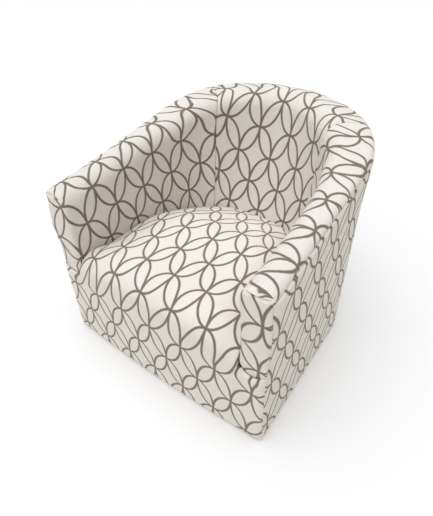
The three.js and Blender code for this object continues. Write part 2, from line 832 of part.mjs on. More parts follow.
function makeFacings() {
  const top = rimAt(placeAtY(armFront)) - facingInset;
  const outer = rollOuterRadius - facingInset;
  const inner = rollInnerRadius - facingInset;
  const lower = range(2 * rollSteps + 2).map((share) => {
    const angle = Math.PI + Math.PI * share;
    return [
      facingMiddleDepth + facingRadius * Math.cos(angle),
      facingCentreHeight + facingRadius * Math.sin(angle),
    ];
  });
  const outline = [
    ...lower,
    ...rollArc(armThickness - inner, top - inner, inner, 0, Math.PI / 2),
    ...rollArc(frameOuter + outer, top - outer, outer, Math.PI / 2, Math.PI),
  ];
  for (const [side, word] of [
    [1, 'right'],
    [-1, 'left'],
  ]) {
    const shape = new THREE.Shape(
      outline.map(([depth, z]) => new THREE.Vector2(side * (halfWidthAt(z) - depth), z)),
    );
    const facing = new THREE.ExtrudeGeometry(shape, {
      depth: facingThickness,
      bevelEnabled: false,
    });
    facing.rotateX(Math.PI / 2).translate(0, -armFrontReach + facingThickness, 0);
    add(chair, `${word}_arm_facing`, facing, fabric);
  }
}

// Inside pads: an inside face and a rolled top over the rail. Their outline has a depth from
// the side, a depth from the back, the plan's roundness and a height at each point.
const padBottom = deckTopAt(sideRun) + seatedGap;

function padOutline(place) {
  const rim = rimAt(place);
  const under = rim - topFoam;
  const even = (depth) => [depth, depth, outerRoundness];
  const inside = (depth, z) => [
    armThickness + swellAt(place) - depth,
    backThicknessAt(z) - depth,
    innerRoundness,
  ];
  const outerRoll = rollArc(
    rollOuterRadius - rollOverhang,
    rim - rollOuterRadius,
    rollOuterRadius,
    Math.PI,
    Math.PI / 2,
  ).map(([depth, z]) => [even(depth), z]);
  const innerRoll = rollArc(0, rim - rollInnerRadius, rollInnerRadius, Math.PI / 2, 0).map(
    ([depth, z]) => [inside(rollInnerRadius - depth, z), z],
  );
  const faceTop = rim - rollInnerRadius;
  const face = range(7).map((share) => faceTop + (padBottom - faceTop) * share);
  return [
    [even(0), under],
    ...outerRoll,
    ...innerRoll,
    ...face.slice(1).map((z) => [inside(0, z), z]),
    ...range(wallLevels).map((share) => [even(padOuter), padBottom + (under - padBottom) * share]),
  ];
}

function pad(places) {
  const outlines = places.map(padOutline);
  const rings = outlines.map((outline, i) =>
    outline.map(([[side, rear, roundness], z]) =>
      wallPoint(places[i], z, side, rear, roundness),
    ),
  );
  const flat = (outline) => outline.map(([[side], z]) => [side, z]);
  return loft(rings, [flat(outlines[0]), flat(outlines.at(-1))], countOnRight(places));
}

function makePads() {
  const seam = placeAtAngle(insideSeamAngle);
  const arm = span(placeAtY(armFront), seam - seamGapPlaces);
  addPair('inside_arm', pad, arm, fabric);
  add(chair, 'inside_back', pad(span(seam, stationCount - seam)), fabric);
}

// Outside panels, from the hem to the seam under the roll
function makeOutsidePanels() {
  const high = (place) => rimAt(place) - topFoam - seatedGap;
  const panel = (places) =>
    rail(places, level(hemHeight), high, wallLevels, 0, panelThickness);
  const seam = placeAtAngle(outsideSeamAngle);
  const arm = span(placeAtY(panelFront), seam - seamGapPlaces);
  addPair('outside_arm', panel, arm, fabric);
  add(chair, 'outside_back', panel(span(seam, stationCount - seam)), fabric);
}

makeGlides();
makeBaseDisc();
makePlate(base, 'lower_swivel_plate', lowerPlateBase, 1, screwRadius, seatedGap);
makeBallCage();
makeRivet();
makePlate(chair, 'upper_swivel_plate', upperPlateBase, -1, boltRadius, runningGap);
makeFasteners();
makeSlats();
makeDustCover();
makeRails();
makeFrontRails();
makePosts();
makeSprings();
makeDeck();
makeSeatCushion();
makeFrontPanel();
makeFacings();
makePads();
makeOutsidePanels();

const group = new THREE.Group();
group.add(base, chair);
export default group;
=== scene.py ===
# A swivel barrel chair: one upholstered shell that turns on a low ball-bearing base.
# Metres, +Z up, the front looks along -Y, and the floor is at height 0.
import math

import bmesh
import bpy
import numpy as np
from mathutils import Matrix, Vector


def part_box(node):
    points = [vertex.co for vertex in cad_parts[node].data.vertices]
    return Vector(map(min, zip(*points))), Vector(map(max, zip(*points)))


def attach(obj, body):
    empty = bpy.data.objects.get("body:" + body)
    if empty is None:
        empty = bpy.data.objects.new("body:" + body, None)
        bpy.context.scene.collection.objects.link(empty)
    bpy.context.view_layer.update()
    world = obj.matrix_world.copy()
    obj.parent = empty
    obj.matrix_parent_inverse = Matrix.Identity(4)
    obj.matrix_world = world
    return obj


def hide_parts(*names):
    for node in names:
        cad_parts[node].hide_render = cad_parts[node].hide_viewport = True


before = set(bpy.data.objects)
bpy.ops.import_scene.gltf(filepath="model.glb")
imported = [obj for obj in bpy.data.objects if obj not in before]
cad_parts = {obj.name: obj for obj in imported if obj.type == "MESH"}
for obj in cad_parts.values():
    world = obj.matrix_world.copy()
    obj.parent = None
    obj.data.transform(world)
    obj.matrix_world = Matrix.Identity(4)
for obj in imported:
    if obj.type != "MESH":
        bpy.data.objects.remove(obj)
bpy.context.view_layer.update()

# Camera: a wide lens above the right front corner of the chair, looking down at it.
# Its place, aim and focal length put the chair's outline where the photograph has it.
camera_place = Vector((0.5966, -0.9111, 1.1813))
camera_aim = Vector((-0.0060, -0.0656, 0.2848))
focal_length = 27.514
sensor_width = 36


def added(name, data):
    """A new object in the scene."""
    thing = bpy.data.objects.new(name, data)
    bpy.context.collection.objects.link(thing)
    return thing


camera_data = bpy.data.cameras.new("camera")
camera_data.lens = focal_length
camera_data.sensor_width = sensor_width
camera = added("camera", camera_data)
camera.location = camera_place
camera.rotation_euler = (camera_aim - camera_place).to_track_quat("-Z", "Y").to_euler()
bpy.context.scene.camera = camera


# Floor glides: four black nylon buttons pressed into the underside of the base.
# The moulding leaves them dull, with a fine grain and paler scuffs where they rub the floor.
glide_count = 4


class Socket:
    """An output in a node tree. Arithmetic on it adds Math nodes."""

    def __init__(self, tree, output=None):
        self.tree, self.output = tree, output

    def feed(self, into, value):
        if isinstance(value, Socket):
            self.tree.links.new(value.output, into)
        else:
            into.default_value = value

    def add(self, kind, inputs=None, output=0, **settings):
        """A node of this kind; its settings are set before its inputs."""
        node = self.tree.nodes.new(kind)
        for name, value in settings.items():
            setattr(node, name, value)
        for name, value in (inputs or {}).items():
            self.feed(node.inputs[name], value)
        return Socket(self.tree, node.outputs[output])

    def math(self, operation, *others):
        inputs = dict(enumerate((self, *others)))
        return self.add("ShaderNodeMath", inputs, operation=operation)

    def __add__(self, other):
        return self.math("ADD", other)

    __radd__ = __add__

    def __mul__(self, other):
        return self.math("MULTIPLY", other)

    __rmul__ = __mul__

    def __sub__(self, other):
        return self.math("SUBTRACT", other)

    def __rsub__(self, other):
        return self.add("ShaderNodeMath", {0: other, 1: self}, operation="SUBTRACT")

    def __truediv__(self, other):
        return self.math("DIVIDE", other)

    def __abs__(self):
        return self.math("ABSOLUTE")

    def between(self, low, high):
        """0 below low, 1 above high, and smooth from one to the other."""
        inputs = {"Value": self, "From Min": low, "From Max": high}
        return self.add("ShaderNodeMapRange", inputs, interpolation_type="SMOOTHSTEP")

    def noise(self, scale, detail=2, roughness=0.5):
        inputs = {"Vector": self, "Scale": scale, "Detail": detail, "Roughness": roughness}
        return self.add("ShaderNodeTexNoise", inputs)

    def stretched(self, x, y, z):
        """These coordinates, multiplied along each axis."""
        inputs = {0: self, 1: (x, y, z)}
        return self.add("ShaderNodeVectorMath", inputs, operation="MULTIPLY")

    def blend(self, low, high):
        """A colour from low where this is 0 to high where it is 1."""
        inputs = {"Factor": self, "A": low, "B": high}
        return self.add("ShaderNodeMix", inputs, output="Result", data_type="RGBA")


def colour(red, green, blue):
    return (red, green, blue, 1)


def finish(name, **constants):
    """A new material: its coordinates on the object, its shader and the material itself."""
    material = bpy.data.materials.new(name)
    material.use_nodes = True
    shader = material.node_tree.nodes["Principled BSDF"]
    for socket, value in constants.items():
        shader.inputs[socket.replace("_", " ")].default_value = value
    start = Socket(material.node_tree)
    place = start.add("ShaderNodeTexCoord", output="Object")
    return place, shader, material


def raise_surface(place, shader, height, depth):
    """Bumps a finish by a height from 0 to 1, depth metres high."""
    bump = place.add("ShaderNodeBump", {"Height": height, "Distance": depth})
    place.feed(shader.inputs["Normal"], bump)


nylon_black = colour(0.012, 0.012, 0.013)
nylon_scuffed = colour(0.04, 0.04, 0.042)
nylon_roughness = 0.4
scuff_roughness = 0.3
nylon_relief = 0.00006


def nylon_finish():
    place, shader, material = finish("black_nylon")
    scuffs = place.noise(scale=220, detail=4).between(0.52, 0.7)
    place.feed(shader.inputs["Base Color"], scuffs.blend(nylon_black, nylon_scuffed))
    place.feed(shader.inputs["Roughness"], nylon_roughness + scuffs * scuff_roughness)
    raise_surface(place, shader, place.noise(scale=2600), nylon_relief)
    return material


def coat(material, *names):
    """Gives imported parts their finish."""
    for name in names:
        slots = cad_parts[name].data.materials
        slots.clear()
        slots.append(material)


def numbered(name, count):
    return [f"{name}_{number}" for number in range(1, count + 1)]


coat(nylon_finish(), *numbered("floor_glide", glide_count))


# Base disc: birch plywood, sawn round, with the plies showing as fine bands on its edge
# and a sanded face veneer whose grain runs across the chair.
plywood_light = colour(0.62, 0.44, 0.26)
plywood_dark = colour(0.36, 0.22, 0.11)
ply_spacing = 0.003
plywood_grain = (6, 160, 160)
plywood_relief = 0.0003
streak_share = 0.45
ply_share = 0.3


def plywood_finish():
    place, shader, material = finish("birch_plywood", Roughness=0.62)
    grain = place.stretched(*plywood_grain).noise(scale=1, detail=5)
    streaks = grain.between(0.35, 0.68)
    layers = place.add("ShaderNodeSeparateXYZ", {"Vector": place}, output="Z")
    plies = (layers * (2 * math.pi / ply_spacing)).math("SINE").between(-0.4, 0.4)
    tone = streaks * streak_share + plies * ply_share
    place.feed(shader.inputs["Base Color"], tone.blend(plywood_light, plywood_dark))
    raise_surface(place, shader, grain, plywood_relief)
    return material


plywood = plywood_finish()
coat(plywood, "base_disc", "back_bottom_rail", "back_seat_rail", "back_top_rail")


# Swivel: two pressed steel plates with ball races, a caged ring of balls and a hollow rivet,
# all zinc plated, with the mottled blue-grey of the plating and bright rubbed spots.
zinc_dull = colour(0.40, 0.42, 0.44)
zinc_bright = colour(0.66, 0.68, 0.70)
zinc_roughness = 0.26
mottle_roughness = 0.2
rubbed_roughness = 0.08
zinc_relief = 0.00005
fixing_count = 4


def zinc_finish():
    place, shader, material = finish("zinc_plated_steel", Metallic=1.0)
    mottle = place.noise(scale=75, detail=5).between(0.38, 0.66)
    rubbed = place.noise(scale=900)
    place.feed(shader.inputs["Base Color"], mottle.blend(zinc_dull, zinc_bright))
    roughness = zinc_roughness + mottle * mottle_roughness + rubbed * rubbed_roughness
    place.feed(shader.inputs["Roughness"], roughness)
    raise_surface(place, shader, rubbed, zinc_relief)
    return material


coat(
    zinc_finish(),
    *("lower_swivel_plate", "upper_swivel_plate", "ball_cage", "pivot_rivet"),
    *numbered("base_screw", fixing_count),
    *numbered("swivel_bolt", fixing_count),
)


# Timber frame: planed hardwood rails, posts and slats, glued and screwed, left unfinished.
# The grain runs along each rail, with darker late wood lines and small flecks.
hardwood_light = colour(0.60, 0.43, 0.27)
hardwood_dark = colour(0.37, 0.23, 0.12)
across_grain = 190
along_grain = 7
ring_coarseness = 1 / 6
fleck_fineness = 4
grain_share = 0.6
ring_share = 0.3
fleck_share = 0.2
timber_relief = 0.0003
side_words = ("right", "left")
side_rails = ("bottom_rail", "seat_rail", "arm_top_rail")
side_posts = ("front_post", "side_leg_post", "back_leg_post", "side_upright", "back_upright")
cross_rails = ("front_bottom_rail", "front_seat_rail", "front_swivel_slat", "rear_swivel_slat")


def hardwood_finish(name, along):
    """Grain stretched along one axis of the chair."""
    place, shader, material = finish(name, Roughness=0.68)
    squeeze = [along_grain if axis == along else across_grain for axis in "xyz"]
    grain = place.stretched(*squeeze).noise(scale=1, detail=6, roughness=0.62)
    coarse = [share * ring_coarseness for share in squeeze]
    fine = [share * fleck_fineness for share in squeeze]
    rings = place.stretched(*coarse).noise(scale=1, detail=3)
    flecks = place.stretched(*fine).noise(scale=1).between(0.66, 0.76)
    tone = grain.between(0.3, 0.72) * grain_share + rings.between(0.4, 0.62) * ring_share
    tone = tone + flecks * fleck_share
    place.feed(shader.inputs["Base Color"], tone.blend(hardwood_light, hardwood_dark))
    raise_surface(place, shader, grain, timber_relief)
    return material


def both_sides(pieces):
    return [f"{side}_{piece}" for side in side_words for piece in pieces]


coat(hardwood_finish("hardwood_lengthways", "y"), *both_sides(side_rails))
coat(hardwood_finish("hardwood_upright", "z"), *both_sides(side_posts))
coat(hardwood_finish("hardwood_crossways", "x"), *cross_rails)


# Seat suspension: six sinuous springs of oiled steel wire, with their ends on the seat rails,
# and a deck of needled felt laid on them, made of matted fibres of several tints.
spring_count = 6
spring_spacing = 0.086
spring_half_width = 0.022
wire_dark = colour(0.05, 0.052, 0.058)
wire_worn = colour(0.13, 0.12, 0.11)
wire_roughness = 0.25
film_roughness = 0.25
felt_light = colour(0.47, 0.45, 0.41)
felt_dark = colour(0.2, 0.19, 0.18)
felt_fibres = (900, 260, 900)
fibre_share = 0.7
speck_share = 0.3
felt_relief = 0.0012
felt_cut = 0.012
deck_droop = 0.002
droop_start = 0.02


def spring_finish():
    place, shader, material = finish("oiled_spring_steel", Metallic=1.0)
    film = place.noise(scale=60, detail=4).between(0.4, 0.65)
    place.feed(shader.inputs["Base Color"], film.blend(wire_dark, wire_worn))
    place.feed(shader.inputs["Roughness"], wire_roughness + film * film_roughness)
    return material


def felt_finish():
    place, shader, material = finish("needled_felt", Roughness=0.95)
    fibres = place.stretched(*felt_fibres).noise(scale=1, detail=3)
    specks = place.noise(scale=420).between(0.6, 0.72)
    tone = fibres.between(0.3, 0.7) * fibre_share + specks * speck_share
    place.feed(shader.inputs["Base Color"], tone.blend(felt_light, felt_dark))
    raise_surface(place, shader, fibres, felt_relief)
    return material


def cut_up(name, node, step, material):
    """A new piece in the shape of a CAD solid, cut into small faces so that it can hang."""
    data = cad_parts[node].data.copy()
    low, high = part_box(node)
    mesh = bmesh.new()
    mesh.from_mesh(data)
    for axis in (0, 1):
        direction = Vector((0, 0, 0))
        direction[axis] = 1
        for number in range(1, int((high[axis] - low[axis]) / step)):
            geometry = [*mesh.verts, *mesh.edges, *mesh.faces]
            place = direction * (low[axis] + number * step)
            bmesh.ops.bisect_plane(mesh, geom=geometry, plane_co=place, plane_no=direction)
    mesh.to_mesh(data)
    mesh.free()
    data.materials.clear()
    data.materials.append(material)
    piece = added(name, data)
    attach(piece, "chair")
    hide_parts(node)
    return piece


def lower(piece, drop_at):
    """Lets a piece hang down by the drop at each place."""
    for vertex in piece.data.vertices:
        vertex.co.z -= drop_at(vertex.co.x, vertex.co.y)


def deck_drop(x, y):
    """The felt droops a little between the springs."""
    from_spring = abs((x / spring_spacing) % 1 - 0.5) * spring_spacing
    share = min(max((from_spring - spring_half_width) / droop_start, 0), 1)
    return deck_droop * share * share


coat(spring_finish(), *numbered("seat_spring", spring_count))
deck = cut_up("felt_deck", "seat_deck", felt_cut, felt_finish())
lower(deck, deck_drop)


# Upholstery fabric: a heavy cream cloth with a taupe lattice of overlapping circles woven in
# chenille, which stands a little proud of the ground. Every panel carries its cloth places,
# in metres across and up the roll, as a UV map.
cloth_map = "cloth"
repeat_width = 0.1172
row_height = 0.1011
circle_size = math.sqrt(0.5)
line_half_width = 0.0038
line_softness = 0.0016
line_fuzz = 0.0014
line_drift = 0.0009
thread_pitch = 0.0013
slub_length = (1, 0.12, 1)
pile_height = 0.0006
ground_colour = colour(0.85, 0.80, 0.71)
ground_shade = colour(0.79, 0.73, 0.625)
line_colour = colour(0.230, 0.180, 0.129)
line_shade = colour(0.152, 0.116, 0.079)
weave_shade = 0.25
slub_shade = 0.45

# Heights of the fabric's parts, as shares of the pile's
weave_relief = 0.35
line_relief = 0.5
chenille_relief = 0.3
slub_relief = 0.1


def lattice_distance(u, v):
    """Distance in metres from the nearest of the pattern's circles. In skew coordinates the
    circles stand on a square grid, so each distance is set right by its local slope."""
    skew = v / (2 * row_height)
    p = (u / repeat_width + skew).math("FRACT") - 0.5
    q = (u / repeat_width - skew).math("FRACT") - 0.5
    nearest = None
    for p_step, q_step in ((0, 0), (0, 1), (1, 0), (1, 1)):
        x = p - p.math("SIGN") * p_step
        y = q - q.math("SIGN") * q_step
        from_centre = (x * x + y * y).math("SQRT")
        slope_u = (x + y) / repeat_width
        slope_v = (x - y) / (2 * row_height)
        slope = (slope_u * slope_u + slope_v * slope_v).math("SQRT")
        distance = abs(from_centre - circle_size) * from_centre / slope
        nearest = distance if nearest is None else nearest.math("MINIMUM", distance)
    return nearest


def fabric_finish():
    constants = dict(Roughness=0.92, Sheen_Weight=0.12, Sheen_Roughness=0.6)
    place, shader, material = finish("chenille_lattice_fabric", **constants)
    cloth = place.add("ShaderNodeUVMap", uv_map=cloth_map)
    u = place.add("ShaderNodeSeparateXYZ", {"Vector": cloth}, output="X")
    v = place.add("ShaderNodeSeparateXYZ", {"Vector": cloth}, output="Y")
    fuzz = cloth.noise(scale=900) - 0.5
    drift = cloth.noise(scale=60) - 0.5
    distance = lattice_distance(u, v) + fuzz * line_fuzz + drift * line_drift
    line = 1 - distance.between(line_half_width - line_softness, line_half_width + line_softness)
    warp, weft = ((way * (2 * math.pi / thread_pitch)).math("SINE") for way in (u, v))
    weave = warp * weft * 0.5 + 0.5
    slubs = cloth.stretched(*slub_length).noise(scale=700, detail=3).between(0.42, 0.68)
    ground = (weave * weave_shade + slubs * slub_shade).blend(ground_colour, ground_shade)
    pile = cloth.noise(scale=1300).between(0.35, 0.7)
    raised = pile.blend(line_colour, line_shade)
    place.feed(shader.inputs["Base Color"], line.blend(ground, raised))
    relief = weave * (1 - line) * weave_relief + line * line_relief
    relief = relief + line * pile * chenille_relief + slubs * slub_relief
    raise_surface(place, shader, relief, pile_height)
    return material


fabric = fabric_finish()


# Inside pads: the inside back, between two vertical seams, and the two arms. Each is foam
# over the frame under a cover that goes up the inside, over the top and down to the seam
# outside. The arm's cover also wraps round its front end as the facing.
arm_height = 0.599
overall_height = 0.738
base_half_width = 0.397
side_lean = 0.026
back_base_reach = 0.419
back_top_reach = 0.413
side_run = 0.096
arm_front = -0.400
outer_roundness = 2.12
inner_roundness = 1.6
rim_rise_power = 1.23
arm_thickness = 0.080
arm_swell = 0.039
swell_length = 0.342
swell_power = 3
top_thickness = 0.082
lower_thickness = 0.177
lower_height = 0.415
inner_roll = 0.050
outer_roll = 0.022
arm_overhang = 0.001
back_overhang = 0.006
seam_drop = 0.020
seam_tuck = 0.005
seam_tuck_drop = 0.0015
top_crown = 0.001
arm_puff = 0.004
puff_below_rim = 0.045
puff_height = 0.480
puff_spread = 0.085
puff_depth = 0.10
puff_inner_reach = 0.29
puff_fade = 0.07
outward_puff = 0.008
forward_puff = 0.006
corner_softness = 0.026
softening_limit = 1.3
pad_bottom = 0.2909
pad_to_frame = 0.0516
backing_rise = 1.04
backing_below_top = 0.016
inside_seam = 0.76
seam_lean = 0.40
seam_lean_start = 0.27
seam_top = -0.10
seam_lean_reach = 0.36
seam_roll = 0.007
seam_pull_in = 0.8
facing_thickness = 0.010
facing_end_tuck = 0.007
facing_end_length = 0.05
facing_bottom = 0.292
facing_outer_depth = 0.0005
facing_rise_length = 0.2
facing_pillow = 0.0025
pillow_edge = 0.03
lip_inner_height = 0.580
lip_outer_height = 0.590
lip_full_height = 0.012
lip_groove = 0.0035
left_groove = 0.3
groove_half_width = 0.006
lip_ease = 0.018
wrap_gain = 1.2
wrap_climb = 0.5
cloth_level = 0.5
half_route_points = 800
ease_height = 0.088
ease_rise = 0.08
ease_start = 0.45
ease_length = 0.2

# Points on the cover's way round a pad: up the inside, over the roll, across the crown, down
# the outer roll and in under it. The columns are counted from the bottom inside.
inside_steps = 44
roll_steps = 12
crown_steps = 12
over_steps = 10
tuck_steps = 3
lean_column = 38
ease_column = 40
ridge_column = 60
crown_column = 62
backing_tail = 20
inside_columns = 50
outside_columns = 12
lip_rows = 10
back_columns = 90
arm_columns = 90
curve_columns = 34
seam_columns = np.array([0.005, 0.011, 0.017])
end_columns = np.array([0.2, 0.45, 0.7])
end_crowding = 0.12
back_end = 0.024

# Points nearer than the first are one point, and edges shorter than the second are none.
join_distance = 0.00002
least_edge = 0.000001
least_area = 1e-12


def smooth(share):
    share = np.clip(share, 0, 1)
    return share * share * (3 - 2 * share)


def half_width(z):
    return base_half_width - side_lean * z / arm_height


def back_reach(z):
    return back_base_reach + (back_top_reach - back_base_reach) * z / overall_height


def back_thickness(z):
    rise = (z - lower_height) / (overall_height - lower_height)
    return lower_thickness + (top_thickness - lower_thickness) * rise


def swell_at(y):
    """How much thicker than at its front an arm is."""
    share = np.clip(1 - (side_run - y) / swell_length, 0, 1)
    return arm_swell * share**swell_power


def wall(place, z, side_depth, back_depth, roundness):
    """A point of the wall. A place runs from -1 at the right arm's front to 0 where the curve
    starts, to pi where it ends and pi + 1 at the left arm's front."""
    angle = np.clip(place, 0, math.pi)
    half = half_width(z) - side_depth
    power = 2 / roundness
    across = np.sign(np.cos(angle)) * np.abs(np.cos(angle)) ** power
    along = np.abs(np.sin(angle)) ** power
    straight = np.maximum(-place, 0) + np.maximum(place - math.pi, 0)
    y = side_run + (back_reach(z) - side_run - back_depth) * along
    y = np.where(straight > 0, side_run + (arm_front - side_run) * straight, y)
    return np.stack([half * across, y, z + 0 * y], axis=-1)


def outer_wall(place, z, depth=0):
    """A point of the wall's outside, or at this depth below it."""
    return wall(place, z, depth, depth, outer_roundness)


def rim_height(place):
    """The top edge climbs from the arms to the back."""
    share = (outer_wall(place, overall_height)[..., 1] - arm_front) / (back_top_reach - arm_front)
    return arm_height + (overall_height - arm_height) * np.maximum(share, 0) ** rim_rise_power


def place_at(y):
    """The place on the right arm's straight side that lies at this y."""
    return (side_run - y) / (arm_front - side_run)


def steps(low, high, count, skip=0):
    """The ends of this many equal steps, without the first ones to skip."""
    return np.linspace(low, high, count + 1)[skip:]


def section(place, shrink, bottom):
    """The cover's way round the pad, as [side depth, back depth, roundness, height] points,
    from the bottom inside, over the top, to the seam outside."""
    top = rim_height(place) - shrink
    roll_start = top - inner_roll
    lower = [(0, z) for z in steps(bottom, roll_start, inside_steps)]
    roll = [
        (inner_roll * (1 - math.cos(a)), roll_start + (inner_roll - top_crown) * math.sin(a))
        for a in steps(0, math.pi / 2, roll_steps, skip=1)
    ]
    swell = float(swell_at(outer_wall(place, arm_height)[1]))
    inside = []
    for cut, z in lower + roll:
        puff = arm_puff * math.exp(-(((z - top) / puff_below_rim + 1) ** 2))
        side = arm_thickness + swell + puff * (1 - swell / arm_swell) - shrink - cut
        inside.append((side, back_thickness(z) - shrink - cut, inner_roundness, z))
    start = np.array(inside[-1])
    edge = top - top_crown
    to_back = smooth((top - arm_height) / (overall_height - arm_height))
    outermost = shrink - arm_overhang - (back_overhang - arm_overhang) * to_back
    end = np.array((outermost + outer_roll, outermost + outer_roll, outer_roundness, edge))
    crown = [
        start + (end - start) * share + np.array((0, 0, 0, 4 * top_crown * share * (1 - share)))
        for share in steps(0, 1, crown_steps, skip=1)
    ]
    fall = seam_drop - top_crown
    over = [
        (outermost + outer_roll * (1 - math.sin(a)), edge - fall * (1 - math.cos(a)))
        for a in steps(0, math.pi / 2, over_steps, skip=1)
    ]
    tuck = [
        (over[-1][0] + seam_tuck * share, over[-1][1] - seam_tuck_drop * share**0.5)
        for share in steps(0, 1, tuck_steps, skip=1)
    ]
    outside = [(depth, depth, outer_roundness, z) for depth, z in over + tuck]
    return np.array([*inside, *crown, *outside])


def backing(visible):
    """The pad's hidden side against the frame, point for point behind the cover."""
    bottom, top = visible[0][3], visible[-1][3]
    share = np.linspace(0, 1, backing_tail)
    depth = np.full(len(visible), pad_to_frame)
    depth[-backing_tail:] = pad_to_frame + (visible[-1][0] - pad_to_frame) * share
    rise = np.linspace(bottom, top * backing_rise, len(visible))
    height = np.minimum(rise, top - backing_below_top)
    level = height[-backing_tail - 1]
    height[-backing_tail:] = level + (top - level) * share**3
    return np.stack([depth, depth, np.full(len(visible), outer_roundness), height], axis=-1)


def leaned(place, z):
    """Places near an inside seam, moved so that the seam leans out towards the arm as it rises,
    and back again over the roll."""
    side = np.where(place < math.pi / 2, 1, -1)
    from_seam = np.minimum(place, math.pi - place) - inside_seam
    near = np.exp(-((from_seam / seam_lean_reach) ** 2))
    column = np.arange(np.shape(z)[-1])
    over = smooth((column - lean_column) / (crown_column - lean_column))
    lean = seam_lean * (z - seam_lean_start) * (1 - over) - seam_top * over
    return place - side * near * lean


def lofted(places, sections):
    """The grid of points through the sections at these places of the wall."""
    rows = []
    for place, points in zip(places, sections):
        side_depth, back_depth, roundness, z = points.T
        rows.append(wall(leaned(place, z), z, side_depth, back_depth, roundness))
    return np.array(rows)


def lengths(points, axis):
    """Distance run along one axis of a grid of points."""
    gaps = np.linalg.norm(np.diff(points, axis=axis), axis=-1)
    first = np.zeros_like(np.take(gaps, [0], axis=axis))
    return np.concatenate([first, np.cumsum(gaps, axis=axis)], axis=axis)


def path_run(place):
    """Cloth length round the inside of the wall, from the middle of the back."""
    route = np.linspace(-1, math.pi / 2, half_route_points)
    level = cloth_level + 0 * route
    swell = swell_at(outer_wall(route, level)[:, 1])
    points = wall(route, level, arm_thickness + swell, back_thickness(level), inner_roundness)
    run = lengths(points, 0)
    side = np.where(place < math.pi / 2, 1, -1)
    mirrored = np.where(place < math.pi / 2, place, math.pi - place)
    return side * (run[-1] - np.interp(mirrored, route, run))


def cloth_of_pad(points, places, sections):
    """Cloth places of a pad: the run round the wall, and the way up from cloth_level. Over the
    top the run is longer, and the cloth is eased to it."""
    up = lengths(points, 1)
    level = [
        np.interp(cloth_level, way[:inside_steps, 3], run[:inside_steps])
        for way, run in zip(sections, up)
    ]
    heights = np.array([way[:, 3] for way in sections])
    inside = path_run(leaned(places[:, None], heights))
    middle = inside[:, ridge_column]
    top = lengths(points[:, ridge_column], 0)
    anchor = np.argmin(abs(middle)) if middle[0] * middle[-1] < 0 else np.argmax(abs(middle))
    top = np.sign(middle[0] - middle[-1]) * (top[anchor] - top) + middle[anchor]
    column = np.arange(points.shape[1])
    eased = smooth((column - ease_column) / (crown_column - ease_column))[None]
    across = inside * (1 - eased) + top[:, None] * eased
    return np.stack([across, up - np.array(level)[:, None]], axis=-1)


def laid(cloth, stretch=1, lean=(0, 0), climb=(1, 0), tilt=(0, 0), eased=(0, 0)):
    """Where a panel's cloth lies when it is pulled over the foam: stretched across and up,
    leaning from row to row, with its rows bent and tilted, and eased in over the roll."""
    u, v = cloth[..., 0], cloth[..., 1]
    forward = smooth((abs(u) - ease_start) / ease_length)
    v = v + eased[0] * forward * np.maximum(v - ease_height, 0)
    u = u + eased[1] * smooth((v - ease_height) / ease_rise)
    across = stretch * u + lean[0] * v + lean[1]
    return np.stack([across, climb[0] * v + climb[1] + tilt[0] * u * u + tilt[1] * u], axis=-1)


def puffed(points):
    """The arms' front ends, where the foam pushes the cover a little outwards and forwards."""
    x, y, z = np.moveaxis(points, -1, 0)
    near = np.exp(-(((z - puff_height) / puff_spread) ** 2))
    near = near * np.exp(-((np.maximum(y - arm_front, 0) / puff_depth) ** 2))
    outer = near * smooth((np.abs(x) - puff_inner_reach) / puff_fade)
    return np.stack([x + np.sign(x) * outward_puff * outer, y - forward_puff * outer, z], axis=-1)


def softened(points):
    """The roll's front end is soft, so the edge between its top and its front is well rounded."""
    behind_front = (points[..., 1] - arm_front) / corner_softness
    below_top = (arm_height - points[..., 2]) / corner_softness
    ahead = np.clip(1 - behind_front, 0, softening_limit)
    above = np.clip(1 - below_top, 0, softening_limit)
    points = points.copy()
    points[..., 1] += corner_softness * ahead * (1 - np.sqrt(1 - above**2 / 2))
    points[..., 2] -= corner_softness * above * (1 - np.sqrt(1 - ahead**2 / 2))
    return points


def strip(outer, inner, cloth):
    """A row of faces between the edges of a cover and its backing, with their cloth places."""
    return np.stack([outer, inner]), np.stack([cloth, cloth])


def sew(name, patches):
    """One closed mesh from grids of points and their cloth places. Like points are joined."""
    mesh = bmesh.new()
    layer = mesh.loops.layers.uv.new(cloth_map)
    for points, cloth in patches:
        points = softened(puffed(points))
        rows, columns = points.shape[:2]
        grid = [[mesh.verts.new(point) for point in row] for row in points]
        for i in range(rows - 1):
            for j in range(columns - 1):
                corners = ((i, j), (i, j + 1), (i + 1, j + 1), (i + 1, j))
                face = mesh.faces.new([grid[r][c] for r, c in corners])
                face.smooth = True
                for loop, (r, c) in zip(face.loops, corners):
                    loop[layer].uv = cloth[r, c]
    bmesh.ops.remove_doubles(mesh, verts=mesh.verts, dist=join_distance)
    bmesh.ops.dissolve_degenerate(mesh, edges=mesh.edges, dist=least_edge)
    bmesh.ops.recalc_face_normals(mesh, faces=mesh.faces)
    data = bpy.data.meshes.new(name)
    mesh.to_mesh(data)
    mesh.free()
    data.materials.append(fabric)
    return added(name, data)


def upholster(piece, *nodes, fill):
    """Puts a padded piece on the chair in place of its CAD solids."""
    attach(piece, "chair")
    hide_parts(*nodes)


def seam_shrink(distance):
    """How far a cover draws in at this distance from a seam."""
    near = np.clip(1 - distance / seam_roll, 0, 1)
    return seam_roll * (1 - math.sqrt(1 - near * near)) * seam_pull_in


